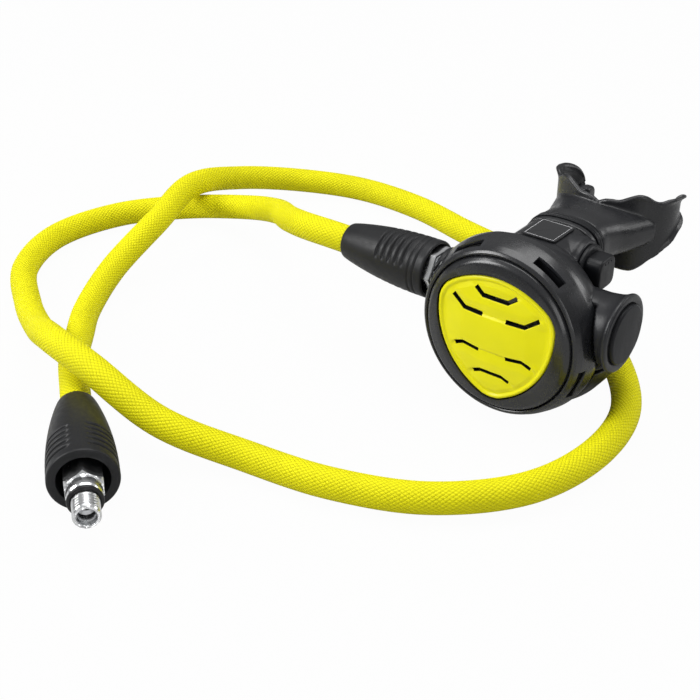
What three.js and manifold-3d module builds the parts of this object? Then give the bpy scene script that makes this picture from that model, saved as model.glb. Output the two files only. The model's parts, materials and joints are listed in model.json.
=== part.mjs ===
// Diving regulator second stage on its low-pressure hose, laid out on a flat surface.
// Millimetres, +Z up. The purge cover faces -Y, the mouthpiece points to +Y, the valve lies along X
// with its hose inlet at -X. The origin is at the bottom centre of the regulator's own box.
import * as THREE from 'three';
import { mergeVertices } from 'three/addons/utils/BufferGeometryUtils.js';
import Module from 'manifold-3d';

const wasm = await Module();
wasm.setup();

// ---------- driving dimensions (the regulator's own frame: cover axis along Y through X 0, Z 0) ----------
const GAP = 0.3; // between neighbouring solids
const BIG = 36; // sides of the large turned pieces
const SMALL = 18; // sides of the small turned pieces

const GROOVE_R = 35; // groove between retaining ring and cover, in the plane Y 0
const RING_W = 5.4; // ring from the groove to its widest
const RING_WALL = 2.4;
const RING_R = GROOVE_R + RING_W; // retaining ring at its widest
const RING_REAR_Y = 13.8;
const RING_BORE_R = RING_R - RING_WALL;
const RING_LIP_Y = 3; // front face of the inner lip that carries the cover
const RING_LIP_W = 3.5;
const RING_LIP_R = GROOVE_R - RING_LIP_W;
const RING_LIP = 1.2; // thickness of that lip
const RING_SLOTS = [60, 120, -20, 200]; // angles of the water slots
const SLOT_HALF_ANGLE = 11;
const SLOT_Y0 = 2.2;
const SLOT_Y1 = 6.4;

const COVER_BACK_Y = 2.6;
const COVER_EDGE_Y = -3.6; // front edge of the opening for the button
const COVER_RIM = 4.6; // cover's rim below the tip of the button's outline
const CORNER_RIM = 3.85; // and outside its two upper corners
const CORNER_ANGLE = 28.787; // the corners' place, in degrees above level
const SHIELD_CORNER_X = (GROOVE_R - CORNER_RIM) * Math.cos((CORNER_ANGLE * Math.PI) / 180);
const SHIELD_CORNER_Z = (GROOVE_R - CORNER_RIM) * Math.sin((CORNER_ANGLE * Math.PI) / 180);
const SHIELD_TIP_Z = COVER_RIM - GROOVE_R;
const SHIELD_TOP_R = 37; // radius of the outline's upper arc
const SHIELD_SIDE_R = 40; // radius of its two side arcs
const BUTTON_CLEAR = 0.4;
const BUTTON_FRONT_Y = -5;
const BUTTON_BACK_Y = -1.4;
const BUTTON_DOME_R = 240;
const BUTTON_STEM_R = 3.4;
const BUTTON_SLOT = 1.5; // width of the water slots in the button
const STEM_CLEAR = 0.5;
const PURGE_SPRING_R = 5.8;
const PURGE_WIRE_R = 0.4;

const GRILLE_T = 1.4;
const GRILLE_BAND_REAR_Y = 8.3;
const PLATE_R = 14.4; // rigid disc in the middle of the diaphragm
const PLATE_FRONT_Y = 8;
const PLATE_T = 1;
const SLIP_T = 0.7;
const BEAD_T = 1.6; // clamped rim of the diaphragm
const SKIN_T = 0.8; // the diaphragm's skin

const RING_STEP = 1; // ring stands proud of the case
const NECK_CLEAR = 0.4;
const NECK_WALL = 3;
const BOWL_R = RING_R - RING_STEP; // case
const BOWL_WALL = 2.4;
const NECK_R = RING_BORE_R - NECK_CLEAR;
const NECK_IN_R = NECK_R - NECK_WALL;
const BOWL_BACK_Y = 35;
const BACK_ROUND = 10.8; // rounding from the bowl's side to its flat back
const BACK_FLAT_R = BOWL_R - BACK_ROUND;

const VALVE_Y = 20.6; // valve axis
const VALVE_Z = 7.3;
const TUBE_R = 5.2;
const TUBE_IN_R = 3.9;
const INLET_R = 6.6; // the tube's wider inlet end
const LOCK_NUT_X = -RING_R - GAP; // the inlet's nuts follow each other out from the ring
const LOCK_NUT_W = 2.6;
const NUT_X = LOCK_NUT_X - LOCK_NUT_W - GAP; // face of the swivel nut towards the case
const NUT_W = 9.4;
const NUT_END_X = NUT_X - NUT_W;
const NUT_FACE_X = NUT_X + 1.7; // the nut's rim stands over the lock nut's thread
const TUBE_LEFT_X = NUT_X - 6.4;
const RUN_CLEAR = 0.35;
const LEFT_BOSS_X = 0.2 - RING_R;
const LEFT_BOSS_R = 12;
const RIGHT_BOSS_REACH = 6.6; // how far the right boss stands out past the ring
const RIGHT_BOSS_X = RING_R + RIGHT_BOSS_REACH;
const RIGHT_BOSS_R = 14.6;
const FLARE_R = 17; // flared rim of the right boss
const CAP_FACE_X = RIGHT_BOSS_X + 1.4;
const CAP_R = 13;
const CAP_SPIGOT_R = 11.4;
const BOSS_DEPTH = 7;
const BOSS_FLOOR_X = RIGHT_BOSS_X - BOSS_DEPTH; // floor of the hollow under the side cap
const TUBE_RIGHT_X = BOSS_FLOOR_X + 3;

const LEVER_X = 12.9; // foot of the demand lever
const LEVER_HALF_W = 3.4;
const LEVER_T = 0.8;
const LEVER_TIP_X = -5;
const LEVER_FOOT = 1.4;
const POPPET_NUT_X = 13.9;

const MP_TUBE_W = 34; // mouthpiece tube, an upright section with round ends
const MP_TUBE_H = 22;
const MP_TUBE_Z = 22.6;
const MP_TUBE_WALL = 2.2;
const MP_TUBE_END_Y = 46.4;
const SPIGOT_W = 30.2;
const SPIGOT_H = 18.2;
const SPIGOT_WALL = 1.8;
const SPIGOT_END_Y = 60;

const KNOB_Y = 39.5; // venturi knob on the right of the mouthpiece tube
const KNOB_Z = 21;
const KNOB_BOSS_R = 11.5;
const KNOB_BOSS_X = 17.8;
const KNOB_GRIP = 14.2;
const KNOB_FACE_X = 27.5;
const KNOB_STEM_R = 3;
const VANE_R = 5.8;

const EXHAUST_Z = 10 - BACK_FLAT_R; // exhaust valve on the case's back
const EXHAUST_R = 11.6;
const TEE_STEP = 3.4;
const TEE_R = BOWL_R + TEE_STEP; // exhaust cover, a second shell round the bottom of the bowl
const FOOT_CUT = 0.8; // the exhaust cover is flat below, where the regulator stands
const STAND_Z = TEE_R - FOOT_CUT; // cover axis above the surface that the regulator stands on
const TEE_FRONT_Y = 16;
const TEE_BACK_Y = 49.4;
const TEE_WALL = 2.2;
const TEE_TOP_Z = -4;
const TEE_CHEEK_Z = -13; // top of the cheeks beside the bowl

const MP_SLEEVE_W = 34.8;
const MP_SLEEVE_H = 23;
const TIE_Y = 50;
const TIE_W = 4.2;
const TIE_T = 1;
const FLANGE_Z = 20.8;
const FLANGE_Y = 99.6; // middle of the oval that the lip flange follows, seen from above
const FLANGE_RX = 28.2; // its half axes
const FLANGE_RY = 19.6;
const FLANGE_T = 2.4;
const FLANGE_END_Y = 111; // its two ends
const FLANGE_CURL = 2; // how far its ends' rim curls outwards
// The flange's edge: angle round to each side, height above and below its middle.
const FLANGE_EDGE = [
  [0, 11.6, 15],
  [6, 13.2, 16],
  [13, 13.8, 17.6],
  [20, 14, 18.8],
  [29, 16, 19.6],
  [38, 17.5, 19.6],
  [47, 16.9, 17.2],
  [56, 14.7, 14],
  [64, 13.9, 12.4],
  [72, 15, 9],
  [81, 15.2, 6],
  [91, 14.8, 3],
  [102, 14, 1.4],
  [113, 12.8, 0],
  [121, 11.2, -1.2],
  [126, 8.4, -2.2],
];
const MOUTH_END_Y = 107; // ends of the bite tabs
const TAB_X = 19.5;
const TAB_T = 4.6;
const TAB_H = 12;

const BADGE_W = 16;
const BADGE_L = 18;
const BADGE_T = 0.5;
const BADGE_Y = 36;

const HOSE_D = 13;
const HOSE_SIDES = 12;
const HOSE_STEPS = 78;
const SLEEVE_CLEAR = 0.4; // between hose and sleeve
const SLEEVE_MOUTH_R = 8;
const NUT_AF = 19.5; // across the flats, swivel nut
const END_AF = 15; // and end fitting
const FERRULE_R = 7.9;
const HOSE_START_X = NUT_END_X - 9;
const IN_SLEEVE_OPEN_X = NUT_X - 1.2;
const IN_SLEEVE_LENGTH = 48;
const SLEEVE_CAVITY_R = 10.5;
const IN_CAVITY_R = 11.8;
const END_SLEEVE_X = 9.5; // mouth of the end sleeve, from the start of the hose's straight end
const END_SLEEVE_LENGTH = 53;
const END_ANGLE = -39.86; // heading of the hose's far end, about +Z
const END_START = [-135.9, -165.1, 14.4]; // start of its straight end, in the part's frame
const END_HOSE = 14; // how far the hose runs on from there
const END_HEX_X = 46;
const END_COLLAR_X = 68.5;
const END_SEAT_X = 74.5; // sealing shoulder
const END_THREAD_X = 77;
const END_NOSE_X = 86;
const THREAD_R = 5.5;
const END_COLLAR_R = 7.1;
const END_NECK_R = 5; // undercut behind the thread, for the O-ring
const END_BORE_R = 3.7;

// Middle line of the hose, laid on the surface, chosen point by point.
const HOSE_POINTS = [
  [-61.2, -32.4, 49.3],
  [-82.2, -32.4, 49.3],
  [-102.6, -32.2, 49.1],
  [-122, -27.2, 45.9],
  [-142.5, -14.8, 39],
  [-169, 6.5, 28],
  [-201.7, 19, 16.5],
  [-239.2, 10.5, 9],
  [-264.2, -15.5, 6.8],
  [-270.7, -54.5, 6.8],
  [-255.2, -90, 6.8],
  [-224.7, -115, 7.2],
  [-195.7, -133.5, 13],
  [-161.7, -153.5, 27.5],
  [-129.2, -161.5, 29],
  [-91.7, -160, 16.5],
  [-56.2, -147, 7.4],
  [-18.2, -140, 7],
  [17.8, -125.5, 8],
  [44.3, -98, 8.6],
  [53.3, -61, 7.5],
  [48.3, -23, 6.8],
  [27.8, 9.5, 6.8],
  [-1.2, 34.5, 6.8],
  [-32.7, 57, 6.8],
  [-66.7, 75, 6.8],
  [-104.2, 84.5, 6.8],
  [-141.2, 94, 6.8],
  [-181.7, 94.5, 6.8],
  [-213.2, 77.5, 9.5],
  [-231.2, 46.5, 16.5],
  [-231.2, 8.5, 25],
  [-220.7, -29.5, 20.5],
  [-215.7, -66, 10],
  [-198.7, -100, 7],
  [-178, -124, 11],
  [-158, -146, 14],
  [-140.3, -161.4, 14.4],
  [-125.15, -174.07, 14.4],
];

const ORIGIN = new THREE.Vector3(
  -(TUBE_LEFT_X + CAP_FACE_X) / 2,
  -(FLANGE_END_Y + BUTTON_FRONT_Y) / 2,
  STAND_Z,
);

// ---------- helpers ----------
const rad = THREE.MathUtils.degToRad;

// One closed body: corners welded, empty triangles dropped, faces pointing out.
function weld(geometry) {
  geometry.deleteAttribute('normal');
  geometry.deleteAttribute('uv');
  const welded = mergeVertices(geometry, 1e-4);
  const p = welded.attributes.position;
  const kept = [];
  const [a, b, c] = [new THREE.Vector3(), new THREE.Vector3(), new THREE.Vector3()];
  let volume = 0;
  for (let i = 0; i < welded.index.count; i += 3) {
    const t = [0, 1, 2].map((k) => welded.index.getX(i + k));
    if (t[0] === t[1] || t[1] === t[2] || t[2] === t[0]) continue;
    kept.push(...t);
    a.fromBufferAttribute(p, t[0]);
    b.fromBufferAttribute(p, t[1]);
    c.fromBufferAttribute(p, t[2]);
    volume += a.dot(b.cross(c));
  }
  if (volume < 0) {
    for (let i = 0; i < kept.length; i += 3) [kept[i], kept[i + 1]] = [kept[i + 1], kept[i]];
  }
  welded.setIndex(kept);
  return welded;
}

function toSolid(geometry) {
  const g = weld(geometry);
  return new wasm.Manifold(new wasm.Mesh({
    numProp: 3,
    vertProperties: new Float32Array(g.attributes.position.array),
    triVerts: new Uint32Array(g.index.array),
  }));
}

function toGeometry(solid) {
  const m = solid.getMesh();
  const g = new THREE.BufferGeometry();
  g.setAttribute('position', new THREE.BufferAttribute(new Float32Array(m.vertProperties), 3));
  g.setIndex(Array.from(m.triVerts));
  return g;
}

const join = (...solids) => solids.reduce((all, s) => all.add(s));
const cut = (solid, ...tools) => tools.reduce((left, t) => left.subtract(t), solid);

// Turned about the cover axis: points are [radius, y].
function turnedY(points, sides = BIG) {
  return toSolid(new THREE.LatheGeometry(points.map(([r, y]) => new THREE.Vector2(r, y)), sides));
}

// Turned about an axis along X through y, z: points are [radius, x].
function turnedX(points, sides = SMALL, y = VALVE_Y, z = VALVE_Z) {
  const g = new THREE.LatheGeometry(points.map(([r, x]) => new THREE.Vector2(r, x)), sides);
  g.rotateZ(-Math.PI / 2);
  g.translate(0, y, z);
  return toSolid(g);
}

// A closed ring profile for turnedX and turnedY: inner and outer radius between two stations.
const band = (rIn, rOut, a, b) => [[rIn, a], [rOut, a], [rOut, b], [rIn, b], [rIn, a]];
const rod = (r, a, b) => [[0, a], [r, a], [r, b], [0, b]];

function box(x0, x1, y0, y1, z0, z1) {
  const g = new THREE.BoxGeometry(x1 - x0, y1 - y0, z1 - z0);
  g.translate((x0 + x1) / 2, (y0 + y1) / 2, (z0 + z1) / 2);
  return toSolid(g);
}

// An outline in X and Z, pushed along Y.
function prismY(shape, y0, y1, curveSegments = 8) {
  const g = new THREE.ExtrudeGeometry(shape, { depth: y1 - y0, bevelEnabled: false, curveSegments });
  g.rotateX(Math.PI / 2);
  g.translate(0, y1, 0);
  return toSolid(g);
}

// An outline in Y and Z, pushed along X.
function prismX(shape, x0, x1, curveSegments = 6) {
  const g = new THREE.ExtrudeGeometry(shape, { depth: x1 - x0, bevelEnabled: false, curveSegments });
  g.applyMatrix4(new THREE.Matrix4().makeBasis(
    new THREE.Vector3(0, 1, 0),
    new THREE.Vector3(0, 0, 1),
    new THREE.Vector3(1, 0, 0),
  ));
  g.translate(x0, 0, 0);
  return toSolid(g);
}

// Flat-sided outline with half-round ends, width along the first axis.
function stadium(width, height, cz) {
  const s = new THREE.Shape();
  const half = (width - height) / 2;
  const r = height / 2;
  s.moveTo(-half, cz - r);
  s.lineTo(half, cz - r);
  s.absarc(half, cz, r, -Math.PI / 2, Math.PI / 2, false);
  s.lineTo(-half, cz + r);
  s.absarc(-half, cz, r, Math.PI / 2, Math.PI * 1.5, false);
  return s;
}

function roundedSquare(size, corner, cx, cy) {
  const s = new THREE.Shape();
  const h = size / 2 - corner;
  s.absarc(cx + h, cy + h, corner, 0, Math.PI / 2, false);
  s.absarc(cx - h, cy + h, corner, Math.PI / 2, Math.PI, false);
  s.absarc(cx - h, cy - h, corner, Math.PI, Math.PI * 1.5, false);
  s.absarc(cx + h, cy - h, corner, Math.PI * 1.5, Math.PI * 2, false);
  return s;
}

function hexagon(acrossFlats, cx, cy, turn = 0) {
  const s = new THREE.Shape();
  const r = acrossFlats / Math.sqrt(3);
  for (let i = 0; i < 6; i += 1) {
    const a = rad(60 * i + turn);
    const [x, y] = [cx + r * Math.cos(a), cy + r * Math.sin(a)];
    if (i === 0) s.moveTo(x, y);
    else s.lineTo(x, y);
  }
  return s;
}

function sector(r0, r1, from, to, steps = 4) {
  const s = new THREE.Shape();
  const at = (r, i) => [r, rad(from + ((to - from) * i) / steps)];
  for (let i = 0; i <= steps; i += 1) {
    const [r, a] = at(r1, i);
    if (i === 0) s.moveTo(r * Math.cos(a), r * Math.sin(a));
    else s.lineTo(r * Math.cos(a), r * Math.sin(a));
  }
  for (let i = steps; i >= 0; i -= 1) {
    const [r, a] = at(r0, i);
    s.lineTo(r * Math.cos(a), r * Math.sin(a));
  }
  return s;
}

// Points of an arc of given radius from one corner to the next, bulging away from the middle.
function arcPoints([x0, z0], [x1, z1], radius, steps) {
  const chord = Math.hypot(x1 - x0, z1 - z0);
  const [mx, mz] = [(x0 + x1) / 2, (z0 + z1) / 2];
  const depth = Math.sqrt(radius * radius - (chord * chord) / 4);
  let [nx, nz] = [-(z1 - z0) / chord, (x1 - x0) / chord];
  if (nx * mx + nz * mz < 0) [nx, nz] = [-nx, -nz];
  const [cx, cz] = [mx - nx * depth, mz - nz * depth];
  const a0 = Math.atan2(z0 - cz, x0 - cx);
  let turn = Math.atan2(z1 - cz, x1 - cx) - a0;
  if (turn > Math.PI) turn -= 2 * Math.PI;
  if (turn < -Math.PI) turn += 2 * Math.PI;
  return Array.from({ length: steps }, (_, i) => [
    cx + radius * Math.cos(a0 + (turn * i) / steps),
    cz + radius * Math.sin(a0 + (turn * i) / steps),
  ]);
}

// The button's outline, grown or shrunk by an offset.
function shield(offset) {
  const left = [-SHIELD_CORNER_X - offset, SHIELD_CORNER_Z + offset / 2];
  const right = [SHIELD_CORNER_X + offset, SHIELD_CORNER_Z + offset / 2];
  const tip = [0, SHIELD_TIP_Z - offset];
  const points = [
    ...arcPoints(right, left, SHIELD_TOP_R + offset, 12),
    ...arcPoints(left, tip, SHIELD_SIDE_R + offset, 12),
    ...arcPoints(tip, right, SHIELD_SIDE_R + offset, 12),
  ];
  return new THREE.Shape(points.map(([x, z]) => new THREE.Vector2(x, z)));
}

// A band of given width along a broken line.
function strip(points, width) {
  const left = [];
  const right = [];
  points.forEach(([x, z], i) => {
    const [px, pz] = points[Math.max(i - 1, 0)];
    const [qx, qz] = points[Math.min(i + 1, points.length - 1)];
    const length = Math.hypot(qx - px, qz - pz);
    const [nx, nz] = [(-(qz - pz) / length) * (width / 2), ((qx - px) / length) * (width / 2)];
    left.push(new THREE.Vector2(x + nx, z + nz));
    right.unshift(new THREE.Vector2(x - nx, z - nz));
  });
  return new THREE.Shape([...left, ...right]);
}

// Sections with the same number of points, skinned and closed at both ends.
function loft(sections) {
  const n = sections[0].length;
  const position = sections.flat().flatMap((p) => [p.x, p.y, p.z]);
  const index = [];
  for (let s = 0; s + 1 < sections.length; s += 1) {
    for (let i = 0; i < n; i += 1) {
      const j = (i + 1) % n;
      const [a, b, c, d] = [s * n + i, s * n + j, (s + 1) * n + j, (s + 1) * n + i];
      index.push(a, b, c, a, c, d);
    }
  }
  [[0, true], [sections.length - 1, false]].forEach(([s, first]) => {
    const middle = position.length / 3;
    const sum = sections[s].reduce((v, p) => v.add(p), new THREE.Vector3()).divideScalar(n);
    position.push(sum.x, sum.y, sum.z);
    for (let i = 0; i < n; i += 1) {
      const [a, b] = [s * n + i, s * n + ((i + 1) % n)];
      index.push(...(first ? [middle, b, a] : [middle, a, b]));
    }
  });
  const g = new THREE.BufferGeometry();
  g.setAttribute('position', new THREE.Float32BufferAttribute(position, 3));
  g.setIndex(index);
  return toSolid(g);
}

// An oval section at height y: power 2 is an ellipse, more is squarer.
function oval(y, halfW, halfH, cz, power = 2.6, n = 24) {
  return Array.from({ length: n }, (_, i) => {
    const a = (2 * Math.PI * i) / n;
    const [c, s] = [Math.cos(a), Math.sin(a)];
    return new THREE.Vector3(
      halfW * Math.sign(c) * Math.abs(c) ** (2 / power),
      y,
      cz + halfH * Math.sign(s) * Math.abs(s) ** (2 / power),
    );
  });
}

// A compression spring about an axis: place maps [radial cos, radial sin, along] to x, y, z.
function coil(meanR, wireR, from, to, turns, place) {
  const count = Math.round(turns * 8);
  const points = Array.from({ length: count + 1 }, (_, i) => {
    const a = (2 * Math.PI * i) / 8;
    return place(meanR * Math.cos(a), meanR * Math.sin(a), from + ((to - from) * i) / count);
  });
  const path = new THREE.CatmullRomCurve3(points, false, 'centripetal');
  const section = new THREE.Shape(Array.from({ length: 5 }, (_, i) => new THREE.Vector2(
    wireR * Math.cos(rad(72 * i)),
    wireR * Math.sin(rad(72 * i)),
  )));
  return toSolid(new THREE.ExtrudeGeometry(section, { steps: count, extrudePath: path }));
}

const skin = (color, roughness, metalness = 0) => (
  new THREE.MeshStandardMaterial({ color, roughness, metalness })
);
const BLACK = skin(0x2b2c2f, 0.42);
const DARK = skin(0x17191b, 0.6);
const RUBBER = skin(0x242528, 0.5);
const YELLOW = skin(0xe8e010, 0.35);
const BRAID = skin(0xe2e015, 0.7);
const CHROME = skin(0xd8dadc, 0.18, 1);
const BRASS = skin(0xb99a55, 0.3, 1);
const STEEL = skin(0xb4b7ba, 0.3, 1);
const SILICONE = skin(0x6a6d70, 0.55);
const WHITE = skin(0xe6e6e0, 0.5);

const group = new THREE.Group();
const regulator = new THREE.Group();
regulator.position.copy(ORIGIN);
group.add(regulator);

function piece(name, solid, material, parent = regulator) {
  const mesh = new THREE.Mesh(toGeometry(solid), material);
  mesh.name = name;
  parent.add(mesh);
  return mesh;
}

// ---------- front of the regulator ----------
const RING_LIP_REAR_Y = RING_LIP_Y + RING_LIP;
const waterSlots = (r0) => RING_SLOTS.map((a) => (
  prismY(sector(r0, RING_R + 2, a - SLOT_HALF_ANGLE, a + SLOT_HALF_ANGLE), SLOT_Y0, SLOT_Y1)
));
piece('retaining_ring', cut(turnedY([
  [GROOVE_R + 0.15, COVER_BACK_Y + GAP],
  [GROOVE_R + 0.15, -0.3],
  [GROOVE_R + 0.9, -0.8],
  [GROOVE_R + 2.1, 0.2],
  [RING_R - 2, 3],
  [RING_R - 0.8, 7],
  [RING_R, 10.4],
  [RING_R, RING_REAR_Y - 0.5],
  [RING_R - 0.5, RING_REAR_Y],
  [RING_BORE_R, RING_REAR_Y],
  [RING_BORE_R, RING_LIP_REAR_Y],
  [RING_LIP_R, RING_LIP_REAR_Y],
  [RING_LIP_R, RING_LIP_Y],
  [GROOVE_R + 0.15, RING_LIP_Y],
  [GROOVE_R + 0.15, COVER_BACK_Y + GAP],
]), ...waterSlots(GROOVE_R + 1)), BLACK);

piece('front_cover', cut(turnedY([
  [0, COVER_EDGE_Y - 0.2],
  [SHIELD_CORNER_X + 1, COVER_EDGE_Y - 0.2],
  [GROOVE_R - 2.2, COVER_EDGE_Y + 1],
  [GROOVE_R - 0.7, -1.1],
  [GROOVE_R - 0.2, 0],
  [GROOVE_R - 0.2, COVER_BACK_Y],
  [0, COVER_BACK_Y],
]), prismY(shield(BUTTON_CLEAR), -12, 12)), BLACK);

// Water slots of the button: broken lines, mirrored about its middle.
const mirror = (points) => points.map(([x, z]) => [-x, z]).reverse();
const UPPER_SLOT = [[-9.7, 21], [-5.9, 18], [5.9, 18], [9.7, 21]];
const SHOULDER_SLOT = [[-20.5, 14.2], [-14.4, 9.7], [-5.6, 9.5]];
const WAIST_SLOT = [[-18.5, -8.6], [-14.3, -6.8], [-6.5, -7.7]];
const LOWER_SLOT = [[-8.7, -18.8], [-5.2, -17.3], [5.2, -17.3], [8.7, -18.8]];
const buttonSlots = [
  UPPER_SLOT,
  SHOULDER_SLOT,
  mirror(SHOULDER_SLOT),
  WAIST_SLOT,
  mirror(WAIST_SLOT),
  LOWER_SLOT,
].map((line) => prismY(strip(line, BUTTON_SLOT), -12, 12));
const dome = [];
for (let i = 0; i <= 5; i += 1) {
  const r = (34 * i) / 5;
  dome.push([r, BUTTON_FRONT_Y + BUTTON_DOME_R - Math.sqrt(BUTTON_DOME_R ** 2 - r * r)]);
}
const buttonBody = turnedY([...dome, [34, BUTTON_BACK_Y], [0, BUTTON_BACK_Y]])
  .intersect(prismY(shield(0), -12, 12));
const stemEndY = PLATE_FRONT_Y - GAP;
piece('purge_button', join(
  cut(buttonBody, ...buttonSlots),
  turnedY(rod(BUTTON_STEM_R, BUTTON_BACK_Y - 0.8, stemEndY), SMALL),
), YELLOW);

const grilleY = RING_LIP_REAR_Y + GAP;
const HUB_R = 7.4;
const SPOKE_HALF_ANGLE = 5;
const grilleDisc = new THREE.Shape();
grilleDisc.absarc(0, 0, NECK_IN_R, 0, Math.PI * 2, false);
const grilleWindows = [0, 60, 120, 180, 240, 300].map((a) => prismY(
  sector(HUB_R, RING_LIP_R, a + SPOKE_HALF_ANGLE, a + 60 - SPOKE_HALF_ANGLE),
  grilleY - 1,
  grilleY + GRILLE_T + 1,
));
piece('purge_grille', cut(
  join(
    prismY(grilleDisc, grilleY, grilleY + GRILLE_T, 18),
    turnedY(band(NECK_IN_R - 0.6, NECK_R, grilleY, GRILLE_BAND_REAR_Y)),
  ),
  ...grilleWindows,
  ...waterSlots(RING_LIP_R - 0.2),
  turnedY(rod(BUTTON_STEM_R + STEM_CLEAR, grilleY - 1, grilleY + GRILLE_T + 1), SMALL),
), DARK);

piece('purge_spring', coil(
  PURGE_SPRING_R,
  PURGE_WIRE_R,
  BUTTON_BACK_Y + PURGE_WIRE_R + GAP,
  grilleY - PURGE_WIRE_R - GAP,
  2.25,
  (c, s, t) => new THREE.Vector3(c, t, s),
), STEEL);

const slipY = GRILLE_BAND_REAR_Y + GAP;
piece('slip_ring', turnedY(band(NECK_IN_R - 1, NECK_R, slipY, slipY + SLIP_T)), WHITE);

const beadY = slipY + SLIP_T + GAP;
const plateBackY = PLATE_FRONT_Y + PLATE_T;
piece('diaphragm_plate', turnedY([
  [0, PLATE_FRONT_Y],
  [PLATE_R - 0.6, PLATE_FRONT_Y],
  [PLATE_R, PLATE_FRONT_Y + 0.4],
  [PLATE_R, plateBackY],
  [0, plateBackY],
]), WHITE);
const skinLine = [
  [PLATE_R + GAP, PLATE_FRONT_Y + 0.4],
  [21, beadY - 0.4],
  [25, beadY + 2.2],
  [29, beadY + 2.2],
  [32, beadY],
  [NECK_IN_R, beadY],
];
piece('diaphragm', turnedY([
  ...skinLine,
  [NECK_R - 0.2, beadY],
  [NECK_R - 0.2, beadY + BEAD_T],
  [NECK_IN_R, beadY + BEAD_T],
  ...skinLine.slice(0, -1).reverse().map(([r, y]) => [r, y + SKIN_T]),
  skinLine[0],
]), SILICONE);

// ---------- case ----------
const neckY = beadY + BEAD_T + GAP;
const shoulderY = RING_REAR_Y + GAP;
const bowl = turnedY([
  [0, neckY],
  [NECK_R, neckY],
  [NECK_R, shoulderY],
  [BOWL_R, shoulderY],
  [BOWL_R, shoulderY + 1.2],
  [BOWL_R - 0.8, 19],
  [BOWL_R - 3, 24],
  [BOWL_R - 6.4, 29],
  [BACK_FLAT_R + 1.6, 33.4],
  [BACK_FLAT_R, BOWL_BACK_Y],
  [0, BOWL_BACK_Y],
]);
const exhaustSeat = turnedY(rod(EXHAUST_R + 0.8, 27, BOWL_BACK_Y), 20).translate([0, 0, EXHAUST_Z]);
const hollow = turnedY([
  [0, neckY - 1],
  [NECK_IN_R, neckY - 1],
  [NECK_IN_R, shoulderY + 0.8],
  [BOWL_R - BOWL_WALL - 0.6, shoulderY + 3],
  [BOWL_R - BOWL_WALL - 2.4, 23],
  [BOWL_R - BOWL_WALL - 5.8, 28],
  [BACK_FLAT_R - 2.4, BOWL_BACK_Y - BOWL_WALL],
  [0, BOWL_BACK_Y - BOWL_WALL],
]);
// Above the mouthpiece tube the bowl slopes down to the tube's flat top.
function topSlope(lower) {
  const z = MP_TUBE_Z + MP_TUBE_H / 2 - lower;
  return prismX(new THREE.Shape([
    new THREE.Vector2(62, z),
    new THREE.Vector2(62, 60),
    new THREE.Vector2(14, 60),
    new THREE.Vector2(14, z + 6.8),
    new THREE.Vector2(20.8, z),
  ].reverse()), -30, 30);
}
// The knob sits in a pocket of the bowl's back.
const pocket = (wall) => turnedX(
  rod(KNOB_BOSS_R - 0.4 + wall, KNOB_BOSS_X - wall, 44),
  20,
  KNOB_Y,
  KNOB_Z,
);
const rightBoss = turnedX([
  [0, 20],
  [RIGHT_BOSS_R, 20],
  [RIGHT_BOSS_R, RIGHT_BOSS_X - 11],
  [RIGHT_BOSS_R + 0.6, RIGHT_BOSS_X - 6],
  [RIGHT_BOSS_R + 1.4, RIGHT_BOSS_X - 3.2],
  [FLARE_R, RIGHT_BOSS_X - 1.4],
  [FLARE_R - 0.4, RIGHT_BOSS_X - 0.4],
  [FLARE_R - 1, RIGHT_BOSS_X],
  [0, RIGHT_BOSS_X],
], 28);
// Below, the boss runs into the bowl without a neck.
const rightGusset = turnedX([
  [0, 24],
  [21.4, 24],
  [21.4, RIGHT_BOSS_X - 13],
  [18.4, RIGHT_BOSS_X - 8],
  [RIGHT_BOSS_R + 0.6, RIGHT_BOSS_X - 3.2],
  [0, RIGHT_BOSS_X - 3.2],
], 28).intersect(box(0, 60, shoulderY, BOWL_BACK_Y - 0.5 - GAP, TEE_CHEEK_Z + GAP, VALVE_Z));
const leftBoss = turnedX(rod(LEFT_BOSS_R, LEFT_BOSS_X, -20), 20);
const ringSpace = turnedY([
  [NECK_R, -10],
  [RING_R + 1.2, -10],
  [RING_R + 1.2, shoulderY],
  [NECK_R, shoulderY],
  [NECK_R, -10],
]);
const frontSpace = turnedY(rod(NECK_R + 1, -10, neckY));
const mpTube = join(
  prismY(stadium(MP_TUBE_W, MP_TUBE_H, MP_TUBE_Z), shoulderY + 0.2, MP_TUBE_END_Y, 6),
  prismY(stadium(SPIGOT_W, SPIGOT_H, MP_TUBE_Z), MP_TUBE_END_Y - 1, SPIGOT_END_Y, 6),
);
const airway = join(
  prismY(stadium(MP_TUBE_W - 2 * MP_TUBE_WALL, MP_TUBE_H - 2 * MP_TUBE_WALL, MP_TUBE_Z), 24, 45, 6),
  prismY(stadium(SPIGOT_W - 2 * SPIGOT_WALL, SPIGOT_H - 2 * SPIGOT_WALL, MP_TUBE_Z), 44, 62, 6),
);
const knobBoss = turnedX([
  [0, 4],
  [KNOB_BOSS_R + 1, 4],
  [KNOB_BOSS_R + 0.9, 14.6],
  [KNOB_BOSS_R, 16.2],
  [KNOB_BOSS_R, KNOB_BOSS_X - 0.6],
  [KNOB_BOSS_R - 0.6, KNOB_BOSS_X],
  [0, KNOB_BOSS_X],
], 20, KNOB_Y, KNOB_Z);
const exhaustHoles = [0, 90, 180, 270].map((a) => {
  const hole = new THREE.Shape();
  hole.absarc(6.6 * Math.cos(rad(a)), EXHAUST_Z + 6.6 * Math.sin(rad(a)), 4, 0, Math.PI * 2, false);
  return prismY(hole, 26, 38, 6);
});
const valveStemHole = new THREE.Shape();
valveStemHole.absarc(0, EXHAUST_Z, 1.7, 0, Math.PI * 2, false);
const knobBossFront = cut(knobBoss, box(0, 30, MP_TUBE_END_Y - 0.2, 60, 0, 60));
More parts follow.
